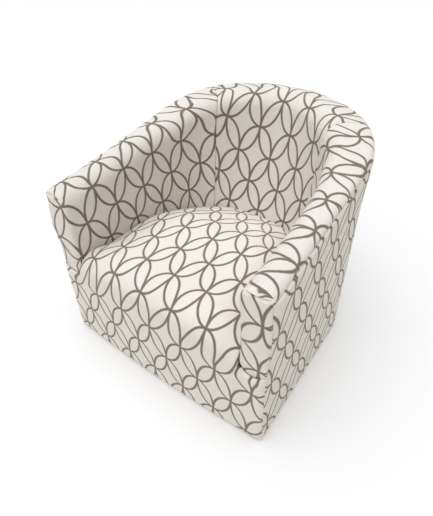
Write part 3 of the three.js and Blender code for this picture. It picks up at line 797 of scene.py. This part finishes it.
def pad_patches(places, ends, bottoms):
    """The cover and backing of a pad with a seam at the places in ends."""
    runs = path_run(places)
    seams = [path_run(np.array(end)) for end in ends]
    shrinks = [seam_shrink(min(abs(run - seam) for seam in seams)) for run in runs]
    sections = [section(*facts) for facts in zip(places, shrinks, bottoms)]
    cover = lofted(places, sections)
    cloth = cloth_of_pad(cover, places, sections)
    behind = lofted(places, [backing(way) for way in sections])
    edges = [strip(cover[:, end], behind[:, end], cloth[:, end]) for end in (0, -1)]
    return cover, cloth, behind, sections, [(cover, cloth), (behind, cloth), *edges]


def dense_ends(low, high, count, edge):
    """Places from low to high, closer together near both ends."""
    share = np.linspace(0, 1, count)
    eased = share - end_crowding * np.sin(4 * math.pi * share) / (2 * math.pi) * 2
    inner = low + (high - low) * eased
    fine = end_columns * edge
    return np.unique(np.concatenate([inner, low + fine, high - fine]))


back_lay = dict(stretch=0.974, lean=(-0.009, -0.109), climb=(1.019, 0.181), tilt=(-0.926, 0.029))
left_lay = dict(stretch=0.938, lean=(0.158, -0.043), climb=(0.965, 0.117), tilt=(0.070, 0.040))
left_lay["eased"] = (0.6, -0.022)
right_lay = dict(stretch=1.05, lean=(0, -0.0393), climb=(1, -0.1736))
facing_lay = dict(climb=(1.149, -0.1134), lean=(0, 0.0027))


def lay_patches(patches, lay):
    """The same grids with their cloth pulled as this lay says."""
    return [(points, laid(cloth, **lay)) for points, cloth in patches]


def make_inside_back():
    low, high = inside_seam, math.pi - inside_seam
    places = dense_ends(low, high, back_columns, back_end)
    bottoms = np.full(len(places), pad_bottom)
    cover, cloth, behind, _, patches = pad_patches(places, (low, high), bottoms)
    patches += [strip(cover[row], behind[row], cloth[row]) for row in (0, -1)]
    piece = sew("inside_back_pad", lay_patches(patches, back_lay))
    upholster(piece, "inside_back", fill=0.9)


def coons(left, right, bottom, top):
    """A grid between four edges. Left and right run up, bottom and top from left to right."""
    up = np.linspace(0, 1, len(left))[:, None, None]
    over = np.linspace(0, 1, len(bottom))[None, :, None]
    sides = (1 - over) * left[:, None] + over * right[:, None]
    ends = (1 - up) * bottom[None] + up * top[None]
    low_corners = (1 - over) * bottom[0] + over * bottom[-1]
    high_corners = (1 - over) * top[0] + over * top[-1]
    return sides + ends - ((1 - up) * low_corners + up * high_corners)


def distance_to_line(points, line):
    """Least distance of flat points to a line of straight pieces."""
    flat = points.reshape(-1, 2)
    best = np.full(len(flat), np.inf)
    for start, end in zip(line[:-1], line[1:]):
        way = end - start
        share = np.clip(((flat - start) @ way) / max(way @ way, least_area), 0, 1)
        best = np.minimum(best, np.linalg.norm(flat - (start + share[:, None] * way), axis=1))
    return best.reshape(points.shape[:-1])


def rounded_in(distance, radius):
    """How far a rounded edge falls back at this distance from it."""
    near = np.clip(1 - distance / radius, 0, 1)
    return radius * (1 - np.sqrt(1 - near * near))


def arc_out(distance, radius):
    """Cloth length over a rounded edge, from the edge to this distance across it."""
    angle = np.arccos(np.clip(1 - distance / radius, 0, 1))
    return radius * angle + np.maximum(distance - radius, 0)


def edge_depth(z):
    """How far the facing's edge turns back. Its lower end is tucked in, so less there."""
    lowest = facing_bottom + arm_thickness / 2
    return facing_thickness - facing_end_tuck * (1 - smooth((z - lowest) / facing_end_length))


def front_end(side, visible, cloth):
    """The arm's front end, in the plane of depth and height: the lip of the top cover above
    the cross seam, and the facing below it."""
    outline = visible[:, [0, 3]]
    first = int(np.searchsorted(outline[:inside_columns, 1], lip_inner_height))
    from_end = int(np.searchsorted(outline[::-1][:outside_columns, 1], lip_outer_height))
    last = len(outline) - 1 - from_end
    columns = last - first
    inner_edge = outline[: first + 1]
    seam_line = outline[first] + (outline[last] - outline[first]) * steps(0, 1, columns)[:, None]
    radius = (arm_thickness - facing_outer_depth) / 2
    middle = np.array(((arm_thickness + facing_outer_depth) / 2, outline[0, 1]))
    turn = steps(0, math.pi, columns)[:, None]
    round_end = middle + radius * np.hstack([np.cos(turn), -np.sin(turn)])
    round_end[0] = outline[0]
    rise = steps(0, 1, first - from_end)[:, None]
    upright_edge = round_end[-1] + (outline[-1] - round_end[-1]) * rise
    outer_edge = np.vstack([upright_edge, outline[last:-1][::-1]])
    facing = coons(inner_edge, outer_edge, round_end, seam_line)
    share = steps(0, 1, lip_rows)[:, None, None]
    lip = outline[first : last + 1] * (1 - share) + seam_line * share
    border = np.vstack([outline, upright_edge[::-1], round_end[::-1]])

    def wrapped(grid):
        """Cloth places where the inside arm's cloth runs on round the corner."""
        height = grid[..., 1]
        u, v = (np.interp(height, inner_edge[:, 1], way) for way in cloth[: first + 1].T)
        inner = np.interp(height, inner_edge[:, 1], inner_edge[:, 0])
        ahead = arc_out(inner - grid[..., 0], facing_thickness)
        return np.stack([u + side * wrap_gain * ahead, v + wrap_climb * ahead], axis=-1)

    patches = []
    groove = lip_groove if side > 0 else lip_groove * left_groove
    for grid, is_lip in ((facing, False), (lip, True)):
        to_edge = distance_to_line(grid, border)
        to_seam = distance_to_line(grid, seam_line)
        depth = edge_depth(grid[..., 1])
        back = rounded_in(to_edge, depth) + arm_front
        back -= facing_pillow * smooth(to_edge / pillow_edge)
        beside_seam = groove * (1 - smooth(to_seam / groove_half_width))
        back += beside_seam * smooth(to_edge / groove_half_width)
        if is_lip:
            height = np.linalg.norm(outline[first : last + 1] - seam_line, axis=1)
            back -= groove * np.sin(math.pi * share[..., 0]) * smooth(height / lip_full_height)
        x = side * (half_width(grid[..., 1]) - grid[..., 0])
        points = np.stack([x, back, grid[..., 1]], axis=-1)
        if is_lip:
            edge = cloth[first : last + 1]
            places = edge * (1 - share) + wrapped(seam_line) * share
            places[..., 0] -= lip_ease * share[..., 0] if side > 0 else 0
        elif side > 0:
            ahead = arc_out(arm_thickness - grid[..., 0], facing_thickness)
            rise = cloth[0, 1] + grid[..., 1] - outline[0, 1]
            places = np.stack([cloth[0, 0] + ahead, rise], axis=-1)
        else:
            places = wrapped(grid)
        patches.append((points, places))
    return patches, np.vstack([round_end, upright_edge[1:]])


def resampled(line, count):
    """This many points, evenly spaced along a line."""
    run = lengths(line, 0)
    return np.stack([np.interp(np.linspace(0, run[-1], count), run, c) for c in line.T], axis=-1)


def make_arm(side, word):
    """One arm's cover: the inside pad with its roll, the lip and the facing."""
    front = place_at(arm_front + facing_thickness)
    curve = steps(0, inside_seam, curve_columns, skip=1)
    fine = inside_seam - seam_columns
    places = np.unique(np.concatenate([steps(front, 0, arm_columns), curve, fine]))
    rise = smooth((facing_rise_length + places[0] - places) / facing_rise_length)
    facing_centre = facing_bottom + (arm_thickness - facing_outer_depth) / 2
    bottoms = pad_bottom + (facing_centre - pad_bottom) * rise
    if side < 0:
        places, bottoms = math.pi - places[::-1], bottoms[::-1]
    seam = inside_seam if side > 0 else math.pi - inside_seam
    cover, cloth, behind, sections, patches = pad_patches(places, (seam,), bottoms)
    back_row, front_row = (-1, 0) if side > 0 else (0, -1)
    patches.append(strip(cover[back_row], behind[back_row], cloth[back_row]))
    ends, lower = front_end(side, sections[front_row], cloth[front_row])
    corner = resampled(lower, cover.shape[1])
    x = side * (half_width(corner[:, 1]) - corner[:, 0])
    rim = np.stack([x, arm_front + edge_depth(corner[:, 1]), corner[:, 1]], axis=-1)
    patches.append(strip(rim, behind[front_row], cloth[front_row]))
    arm_lay, end_lay = (right_lay, facing_lay) if side > 0 else (left_lay, left_lay)
    facing, lip = ends
    patches = lay_patches([*patches, lip], arm_lay) + lay_patches([facing], end_lay)
    piece = sew(f"{word}_arm_cover", patches)
    upholster(piece, f"{word}_inside_arm", f"{word}_arm_facing", fill=0.9)


make_inside_back()
make_arm(1, "right")
make_arm(-1, "left")


# Seat: one tight domed cushion of foam and wadding. Its cover runs over the front edge as a
# waterfall and on down the whole front of the chair to the hem, and closes round the lower
# ends of the arm facings.
seat_crown = 0.415
seat_side_drop = 0.067
corner_fill = 0.032
corner_fill_start = -0.26
corner_fill_length = 0.12
seat_side_power = 3.35
seat_back_drop = 0.095
seat_back_start = -0.086
seat_fall_length = 0.275
seat_back_power = 1.28
seat_back_edge = 0.31
crease_gap = 0.0008
crease_roll = 0.009
crevice_width = 0.02
crevice_share = 0.9
front_reach = -0.422
front_roll_depth = 0.080
front_roll_height = 0.062
front_bow = 0.015
front_belly = 0.003
front_belly_top = 0.39
front_over_facing = 0.0006
deck_level = 0.2925
hem_height = 0.012
hem_roll = 0.004
notch_roll = 0.007
notch_gap = -0.004
notch_top = 0.46
notch_share = 0.72
corner_roll = 0.014
corner_height = 0.319
corner_inset = 0.001
lining_gap = 0.0004
lining_setback = 0.07
lining_slope = 0.1
cloth_change = 0.12
turn_height = 0.04
turn_length = 0.11

# Rows and columns of the seat and the front, closer together towards their edges
seat_columns = 120
seat_rows = 96
waterfall_rows = 24
front_rows = 70
notch_points = 46
side_crowding = 0.35
rear_crowding = 1.3
corner_crowding = 1.15

seat_lay = dict(stretch=1.051, lean=(0.049, -0.094), climb=(1.029, 0.162), tilt=(-0.370, 0.037))
front_lay = dict(stretch=1.02, lean=(-0.030, -0.070), climb=(0.959, 0.170), tilt=(0.284, 0.026))


def crown_at(y):
    fall = np.maximum(y - seat_back_start, 0) / seat_fall_length
    return seat_crown - seat_back_drop * fall**seat_back_power


def side_drop_at(y):
    """The seat is fuller at its front corners."""
    return seat_side_drop - corner_fill * smooth((corner_fill_start - y) / corner_fill_length)


def seat_half_at(y):
    """Half the seat's width, out to the creases along the arms."""
    y = np.minimum(y, side_run)
    edge = crown_at(y) - side_drop_at(y)
    return half_width(edge) - arm_thickness - swell_at(y) - crease_gap


seat_half = seat_half_at(front_reach)
seat_back_end = back_reach(seat_back_edge) - back_thickness(seat_back_edge) - crease_gap


def seat_rear(share):
    """Where the seat ends at the crevice under the back, from the middle (0) to the side (1)."""
    left = np.clip(1 - np.abs(share) ** inner_roundness, 0, 1)
    return side_run + (seat_back_end - side_run) * left ** (1 / inner_roundness)


def bow(x):
    """How far the front's bow falls back towards its sides."""
    return front_bow * (x / base_half_width) ** 2


def seat_patch(across):
    """Rows of points from the crevice to the lower end of the waterfall."""
    share = steps(0, 1, seat_rows)[:, None]
    eased = 1 - (1 - share) ** rear_crowding
    start, end = seat_rear(across)[None], front_reach + front_roll_depth
    y = start + (end - start) * eased
    x = across[None] * seat_half_at(y)
    drop = side_drop_at(y) * np.abs(across[None]) ** seat_side_power
    side = (1 - np.abs(across[None])) * seat_half_at(y)
    at_back = y > side_run - crevice_width
    to_crease = np.where(at_back, np.minimum(side, (start - y) * crevice_share), side)
    z = crown_at(y) - drop - rounded_in(to_crease, crease_roll)
    top = np.stack([x, y, np.maximum(z, deck_level)], axis=-1)
    angle = steps(0, math.pi / 2, waterfall_rows, skip=1)[:, None]
    x = across[None] * seat_half + 0 * angle
    y = end - front_roll_depth * np.sin(angle) + bow(x) * smooth(np.sin(angle))
    z = seat_crown - front_roll_height * (1 - np.cos(angle)) - drop[-1]
    radius = crease_roll + (notch_roll - crease_roll) * smooth(np.sin(angle))
    near = np.clip(1 - (seat_half - np.abs(x)) / radius, 0, 1)
    pull = radius * (1 - np.sqrt(1 - near**2))
    y = y + pull * np.sin(angle)
    z = z - pull * np.cos(angle)
    fall = np.stack([x, y, z], axis=-1)
    return np.concatenate([top, fall])


def front_face(x, z, outline):
    """How far forward the front lies, with its edges rounded back."""
    side = half_width(z) - corner_inset - np.abs(x)
    notch = distance_to_line(np.stack([np.abs(x), z], axis=-1), outline)
    belly = front_belly * np.sin(math.pi * np.clip(z / front_belly_top, 0, 1))
    y = front_reach + bow(x) - belly * (1 - (x / base_half_width) ** 2)
    y = y + np.maximum(rounded_in(notch, notch_roll), rounded_in(side, corner_roll))
    y = y + rounded_in(z - hem_height, hem_roll)
    return np.minimum(y, arm_front - front_over_facing)


def notch_line():
    """The front cover's edge round a facing's lower end, as [x, height] points."""
    centre_z = facing_bottom + (arm_thickness - facing_outer_depth) / 2
    middle = half_width(centre_z) - (arm_thickness + facing_outer_depth) / 2
    radius = (arm_thickness - facing_outer_depth) / 2 + notch_gap
    first = math.acos(min((middle - seat_half) / radius, 1))
    last = math.asin((centre_z - corner_height) / radius)
    turn = np.linspace(-first, math.pi - last, notch_points)
    return np.stack([middle - radius * np.cos(turn), centre_z - radius * np.sin(turn)], axis=-1)


def make_seat():
    even = steps(-1, 1, seat_columns)
    across = side_crowding * np.sin(even * math.pi / 2) + (1 - side_crowding) * even
    seat = seat_patch(across)
    low_line = seat[-1]
    start = low_line[-1][[0, 2]]
    notch = notch_line()
    notch = notch[notch[:, 1] < start[1]]
    corner = np.array([[half_width(corner_height) - corner_inset, corner_height]])
    right = np.vstack([start[None], notch, corner])
    mirror = right[::-1] * np.array([-1, 1])
    middle = low_line[1:-1][:, [0, 2]]
    top = np.vstack([mirror, middle, right])
    left_share = np.linspace(-1, -notch_share, len(mirror))
    right_share = np.linspace(notch_share, 1, len(right))
    share = np.concatenate([left_share, notch_share * across[1:-1], right_share])
    bottom_half = half_width(hem_height) - corner_inset
    bottom = np.stack([share * bottom_half, np.full(len(share), hem_height)], axis=-1)
    rise = 1 - (1 - steps(0, 1, front_rows)) ** corner_crowding
    height = hem_height + (corner_height - hem_height) * rise
    side = np.stack([half_width(height) - corner_inset, height], axis=-1)
    grid = coons(side * np.array([-1, 1]), side, bottom, top)
    edge_line = np.vstack([[[seat_half, notch_top]], start[None], notch, corner])
    y = front_face(grid[..., 0], grid[..., 1], edge_line)
    front = np.stack([grid[..., 0], y, grid[..., 1]], axis=-1)
    joined = slice(len(mirror) - 1, len(mirror) + len(middle) + 1)
    front[-1, joined] = low_line
    seat_cloth = seat_cloth_places(seat)
    fall = front[..., 2] - low_line[seat_columns // 2, 2]
    front_cloth = np.stack([front[..., 0], fall], axis=-1)
    change = np.zeros(front_cloth[-1].shape)
    change[joined] = seat_cloth[-1] - front_cloth[-1, joined]
    change[: joined.start] = change[joined.start]
    change[joined.stop :] = change[joined.stop - 1]
    front_cloth += change[None] * smooth(1 + front_cloth[..., 1:] / cloth_change)
    seat_cloth, front_cloth = over_the_edge(seat_cloth), over_the_edge(front_cloth)
    share = np.clip((seat[..., 1] - front_reach) / lining_slope, 0, 1)
    inner_y = np.maximum(seat[..., 1], arm_front - lining_gap + lining_setback * share)
    under = np.stack([seat[..., 0], inner_y, np.minimum(seat[..., 2], deck_level)], axis=-1)
    back = front.copy()
    back[..., 1] = arm_front - lining_gap
    back[-1, joined] = under[-1]
    patches = [(seat, seat_cloth), (front, front_cloth), (under, seat_cloth), (back, front_cloth)]
    for outer, inner, cloth in ((seat, under, seat_cloth), (front, back, front_cloth)):
        for edge in (np.s_[0], np.s_[:, 0], np.s_[:, -1]):
            patches.append(strip(outer[edge], inner[edge], cloth[edge]))
    for edge in (np.s_[-1, : len(mirror)], np.s_[-1, -len(right) :]):
        patches.append(strip(front[edge], back[edge], front_cloth[edge]))
    piece = sew("seat_and_front", patches)
    upholster(piece, "seat_cushion", "front_panel", fill=1.0)


def over_the_edge(cloth):
    """The cover's cloth lies one way on the seat and another down the front."""
    down = smooth((turn_height - cloth[..., 1:]) / turn_length)
    return laid(cloth, **seat_lay) * (1 - down) + laid(cloth, **front_lay) * down


def seat_cloth_places(seat):
    """Cloth places on the seat: across from its middle, and back from the waterfall's end."""
    middle = seat.shape[1] // 2
    across = lengths(seat, 1)
    across = across - across[:, middle][:, None]
    along = lengths(seat, 0)[:, middle]
    return np.stack([across, 0 * across + (along[-1] - along)[:, None]], axis=-1)


make_seat()


# Outside panels: fabric over card and wadding, tacked to the frame, one on each arm and one
# round the back. They end at the seam under the top cover and turn under at the hem.
panel_thickness = 0.006
outside_seam = 0.35
seam_gap = 0.0008
panel_edge = 0.005
top_edge = 0.007
top_gap = 0.0022
top_swell = 0.006
top_swell_length = 0.16
seam_pull = 0.0005
seam_pull_width = 0.06
swell_edge = 0.02
front_gap = 0.0005
front_step_height = 0.305
front_step_length = 0.02
run_level = 0.3
route_points = 1600
panel_columns = 110
panel_end = 0.02
panel_rows = 80
hem_rows = 0.006 * np.arange(6)
top_rows = 1 - 0.004 * np.arange(7)
arm_panel_lay = dict(lean=(0.015, -0.052), climb=(1.039, -0.491))
right_panel_lay = arm_panel_lay | dict(stretch=0.961, tilt=(-0.141, 0.158))
left_panel_lay = arm_panel_lay | dict(stretch=-0.961, tilt=(-0.141, -0.158))
back_panel_lay = dict(climb=(1.0, -0.40))


outside_route = np.linspace(-1, math.pi + 1, route_points)
outside_run = lengths(outer_wall(outside_route, run_level + 0 * outside_route), 0)


def path_outside(place):
    """Cloth length round the outside of the wall, from the middle of the back."""
    return outside_run[-1] / 2 - np.interp(place, outside_route, outside_run)


def make_panel(name, node, low, high, lay):
    """One outside panel between two ends, each of which gives its place for a height."""
    across = dense_ends(0, 1, panel_columns, panel_end)
    rows = np.unique(np.concatenate([steps(0, 1, panel_rows), hem_rows, top_rows]))
    outer, inner, runs = [], [], []
    for share in across:
        middle = low(run_level) + (high(run_level) - low(run_level)) * share
        top = rim_height(middle) - seam_drop - top_gap
        z = hem_height + (top - hem_height) * rows
        place = low(z) + (high(z) - low(z)) * share
        run = path_outside(place)
        side = np.minimum(abs(run - path_outside(low(z))), abs(run - path_outside(high(z))))
        depth = np.maximum(rounded_in(z - hem_height, panel_edge), rounded_in(top - z, top_edge))
        depth = np.maximum(depth, rounded_in(side, panel_edge))
        swell = top_swell * (1 - smooth((top - z) / top_swell_length))
        swell = swell + seam_pull * smooth(side / seam_pull_width)
        outer.append(outer_wall(place, z, depth - swell * smooth(side / swell_edge)))
        inner.append(outer_wall(place, z, panel_thickness))
        runs.append(run)
    outer, inner, runs = np.array(outer), np.array(inner), np.array(runs)
    cloth = np.stack([runs, outer[..., 2]], axis=-1)
    patches = [(outer, cloth), (inner, cloth)]
    for edge in (np.s_[0], np.s_[-1], np.s_[:, 0], np.s_[:, -1]):
        patches.append(strip(outer[edge], inner[edge], cloth[edge]))
    piece = sew(name, lay_patches(patches, lay))
    upholster(piece, node, fill=1.0)


def right_front(z):
    """The arm panel's front end: at the corner below, and behind the facing above."""
    step = smooth((z - front_step_height) / front_step_length)
    return place_at(arm_front + front_gap + (facing_thickness + front_gap) * step)


def left_front(z):
    return math.pi - right_front(z)


def right_seam(z):
    return outside_seam + 0 * z


def left_seam(z):
    return math.pi - right_seam(z)


def right_rear(z):
    return right_seam(z) - seam_gap


def left_rear(z):
    return left_seam(z) + seam_gap


make_panel("right_outside_panel", "right_outside_arm", right_front, right_rear, right_panel_lay)
make_panel("left_outside_panel", "left_outside_arm", left_rear, left_front, left_panel_lay)
make_panel("outside_back_panel", "outside_back", right_seam, left_seam, back_panel_lay)


# Blind stitches: the outside panels are closed by hand with waxed linen thread, which crosses
# the seams up the back and under the top cover in short ladder steps.
stitch_length = 0.0055
stitch_rise = 0.0009
stitch_thread = 0.0008
stitch_wobble = 0.15
stitch_pitch = 0.009
stitch_depth = 0.0028
stitch_half_way = 0.002
stitch_front = -0.37
stitch_bottom = 0.03
below_side_rim = 0.004
below_top_rim = 0.001
seam_points = 60
rim_points = 500
arch_points = 8
wire_sides = 6
wobble_seed = 4
thread_light = colour(0.72, 0.67, 0.58)
thread_dark = colour(0.5, 0.45, 0.37)
thread_relief = 0.0002


def fastening_tree(name):
    """Geometry nodes that put a small arch of wire or thread at each point of a mesh."""
    tree = bpy.data.node_groups.new(name, "GeometryNodeTree")
    sizes = ("Length", "Rise", "Thickness", "Wobble")
    kinds = {"Points": "Geometry"} | dict.fromkeys(sizes, "Float") | {"Material": "Material"}
    for word, kind in kinds.items():
        tree.interface.new_socket(word, in_out="INPUT", socket_type=f"NodeSocket{kind}")
    tree.interface.new_socket("Pieces", in_out="OUTPUT", socket_type="NodeSocketGeometry")
    given = tree.nodes.new("NodeGroupInput").outputs
    points, length, rise, thickness, wobble, material = (Socket(tree, given[k]) for k in kinds)
    add = points.add

    half = length * 0.5
    low, high = {"X": half * -1}, {"X": half}
    ends = {"Start": low, "Start Handle": low | {"Z": rise}}
    ends |= {"End Handle": high | {"Z": rise}, "End": high}
    ends = {word: add("ShaderNodeCombineXYZ", place) for word, place in ends.items()}
    inputs = {"Resolution": arch_points} | ends
    arch = add("GeometryNodeCurvePrimitiveBezierSegment", inputs)
    inputs = {"Resolution": wire_sides, "Radius": thickness * 0.5}
    ring = add("GeometryNodeCurvePrimitiveCircle", inputs)
    inputs = {"Curve": arch, "Profile Curve": ring, "Fill Caps": True}
    wire = add("GeometryNodeSetShadeSmooth", {0: add("GeometryNodeCurveToMesh", inputs)})

    read = dict(kind="GeometryNodeInputNamedAttribute", output="Attribute")
    read |= dict(data_type="FLOAT_VECTOR")
    out, along = (add(inputs={"Name": word}, **read) for word in ("out", "along"))
    turned = add("FunctionNodeAlignRotationToVector", {"Vector": out}, axis="Z")
    inputs = {"Rotation": turned, "Vector": along}
    turned = add("FunctionNodeAlignRotationToVector", inputs, axis="X", pivot_axis="Z")
    inputs = {2: wobble * -1, 3: wobble, "Seed": wobble_seed}
    chance = add("FunctionNodeRandomValue", inputs, output=1, data_type="FLOAT")
    inputs = {"Rotation": turned, "Rotate By": add("ShaderNodeCombineXYZ", {"Z": chance})}
    turned = add("FunctionNodeRotateRotation", inputs, rotation_space="LOCAL")

    inputs = {"Points": points, "Instance": wire, "Rotation": turned}
    many = add("GeometryNodeInstanceOnPoints", inputs)
    real = add("GeometryNodeRealizeInstances", {"Geometry": many})
    done = add("GeometryNodeSetMaterial", {"Geometry": real, "Material": material})
    done.feed(tree.nodes.new("NodeGroupOutput").inputs["Pieces"], done)
    return tree


def fastened(name, tree, rows, slot, **values):
    """The arches at rows of [place, outward way, way along the arch], as one plain mesh."""
    points = bpy.data.meshes.new(name)
    points.from_pydata([row[0] for row in rows], [], [])
    for word, column in (("out", 1), ("along", 2)):
        attribute = points.attributes.new(word, "FLOAT_VECTOR", "POINT")
        attribute.data.foreach_set("vector", np.array([row[column] for row in rows]).ravel())
    carrier = added(name + "_points", points)
    modifier = carrier.modifiers.new("arches", "NODES")
    modifier.node_group = tree
    for item in tree.interface.items_tree:
        if item.in_out == "INPUT" and item.name in values:
            modifier[item.identifier] = values[item.name]
    graph = bpy.context.evaluated_depsgraph_get()
    data = bpy.data.meshes.new_from_object(carrier.evaluated_get(graph), depsgraph=graph)
    bpy.data.objects.remove(carrier)
    piece = added(name, data)
    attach(piece, "chair")
    return piece


def seam_rows(path):
    """Stitches along a path on the outside, across it."""
    rows = []
    run = lengths(path, 0)
    for here in np.arange(stitch_pitch, run[-1] - stitch_pitch / 2, stitch_pitch):
        before = np.array([np.interp(here - stitch_half_way, run, c) for c in path.T])
        after = np.array([np.interp(here + stitch_half_way, run, c) for c in path.T])
        forward = (after - before) / np.linalg.norm(after - before)
        outward = np.array([before[0], max(before[1] - side_run, 0), 0.0])
        outward /= np.linalg.norm(outward)
        rows.append(((before + after) / 2, outward, np.cross(forward, outward)))
    return rows


def thread_finish():
    place, shader, material = finish("waxed_linen_thread", Roughness=0.7)
    ply = place.noise(scale=2400).between(0.35, 0.65)
    place.feed(shader.inputs["Base Color"], ply.blend(thread_light, thread_dark))
    raise_surface(place, shader, ply, thread_relief)
    return material


def stitched_seams():
    """Stitches up both back seams and along the seam under the top cover."""
    rows = []
    heights = np.linspace(stitch_bottom, 1, seam_points)
    for seam in (right_seam, left_seam):
        place = seam(heights)
        top = rim_height(place) - seam_drop - below_side_rim
        z = hem_height + (top - hem_height) * heights
        rows += seam_rows(outer_wall(place, z, stitch_depth))
    front = place_at(stitch_front)
    places = np.linspace(front, math.pi - front, rim_points)
    z = rim_height(places) - seam_drop - below_top_rim
    return rows + seam_rows(outer_wall(places, z, stitch_depth))


fastening = fastening_tree("arches")
fastened(
    "blind_stitches",
    fastening,
    stitched_seams(),
    "upholstery_fabric",
    Length=stitch_length,
    Rise=stitch_rise,
    Thickness=stitch_thread,
    Wobble=stitch_wobble,
    Material=thread_finish(),
)


# Dust cover: black non-woven cloth, stapled up to the two slats with galvanised staples. It
# sags slightly where nothing holds it.
cover_sag = 0.0025
cover_half = 0.343
cover_front = -0.3544
cover_rear = 0.27
cover_cut = 0.015
edge_slack = 0.08
slat_middle = 0.094
slat_half = 0.031
plate_half = 0.13
held_slack = 0.05
first_staple = 0.135
last_staple = 0.335
staple_pitch = 0.030
staple_length = 0.010
staple_rise = 0.0011
staple_wire = 0.0009
staple_wobble = 0.25
cambric_black = colour(0.006, 0.006, 0.0065)
cambric_grey = colour(0.022, 0.022, 0.023)
cambric_relief = 0.0002


def cambric_finish():
    place, shader, material = finish("black_cambric", Roughness=0.95)
    fibres = place.noise(scale=1500, detail=3).between(0.35, 0.7)
    place.feed(shader.inputs["Base Color"], fibres.blend(cambric_black, cambric_grey))
    raise_surface(place, shader, fibres, cambric_relief)
    return material


def cover_drop(x, y):
    """The cloth sags between its edges, the slats and the swivel plate."""
    rear = math.hypot(x, max(y - side_run, 0) * cover_half / cover_rear)
    to_edge = min(cover_half - abs(x), y - cover_front, cover_half - rear)
    from_slat = abs(abs(y) - slat_middle) - slat_half
    from_plate = max(abs(x), abs(y)) - plate_half
    shares = (to_edge / edge_slack, from_slat / held_slack, from_plate / held_slack)
    ease = np.prod([smooth(np.array(share)) for share in shares])
    return cover_sag * float(ease)


cover = cut_up("dust_cover_cloth", "dust_cover", cover_cut, cambric_finish())
lower(cover, cover_drop)
cover_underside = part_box("dust_cover")[0][2]
staple_rows = []
for y in (-slat_middle, slat_middle):
    for x in np.arange(first_staple, last_staple, staple_pitch):
        for side in (-1, 1):
            staple_rows.append(((side * x, y, cover_underside), (0, 0, -1), (1, 0, 0)))
fastened(
    "cover_staples",
    fastening,
    staple_rows,
    "zinc_steel",
    Length=staple_length,
    Rise=staple_rise,
    Thickness=staple_wire,
    Wobble=staple_wobble,
    Material=bpy.data.materials["zinc_plated_steel"],
)


# Studio: a white floor without an edge, an even white sky and a large soft lamp overhead,
# a little cooler than the sky, which leaves a faint shadow round the chair's foot.
floor_reach = 12
floor_glow = 0.11
floor_light = colour(0.81, 0.795, 0.75)
floor_dark = colour(0.80, 0.785, 0.74)
white = colour(1, 1, 1)
sky_strength = 0.22
lamp_strength = 2.9
lamp_spread = 85
lamp_colour = (1, 1.03, 1.13)
lamp_aim = Vector((0.06, 0.18, -1))


def floor_finish():
    place, shader, material = finish("white_floor", Roughness=0.9, Emission_Strength=floor_glow)
    shader.inputs["Emission Color"].default_value = white
    tone = place.noise(scale=3).blend(floor_dark, floor_light)
    place.feed(shader.inputs["Base Color"], tone)
    return material


floor_mesh = bpy.data.meshes.new("floor")
corners = [(x * floor_reach, y * floor_reach, 0) for x, y in ((-1, -1), (1, -1), (1, 1), (-1, 1))]
floor_mesh.from_pydata(corners, [], [(0, 1, 2, 3)])
floor_mesh.materials.append(floor_finish())
floor = added("floor", floor_mesh)

sky = bpy.data.worlds.new("studio")
sky.use_nodes = True
background = sky.node_tree.nodes["Background"]
background.inputs["Color"].default_value = white
background.inputs["Strength"].default_value = sky_strength
bpy.context.scene.world = sky

lamp_data = bpy.data.lights.new("overhead_light", "SUN")
lamp_data.energy, lamp_data.angle = lamp_strength, math.radians(lamp_spread)
lamp_data.color = lamp_colour
lamp = added("overhead_light", lamp_data)
lamp.rotation_euler = lamp_aim.to_track_quat("-Z", "Y").to_euler()

bpy.context.scene.view_settings.view_transform = "Standard"
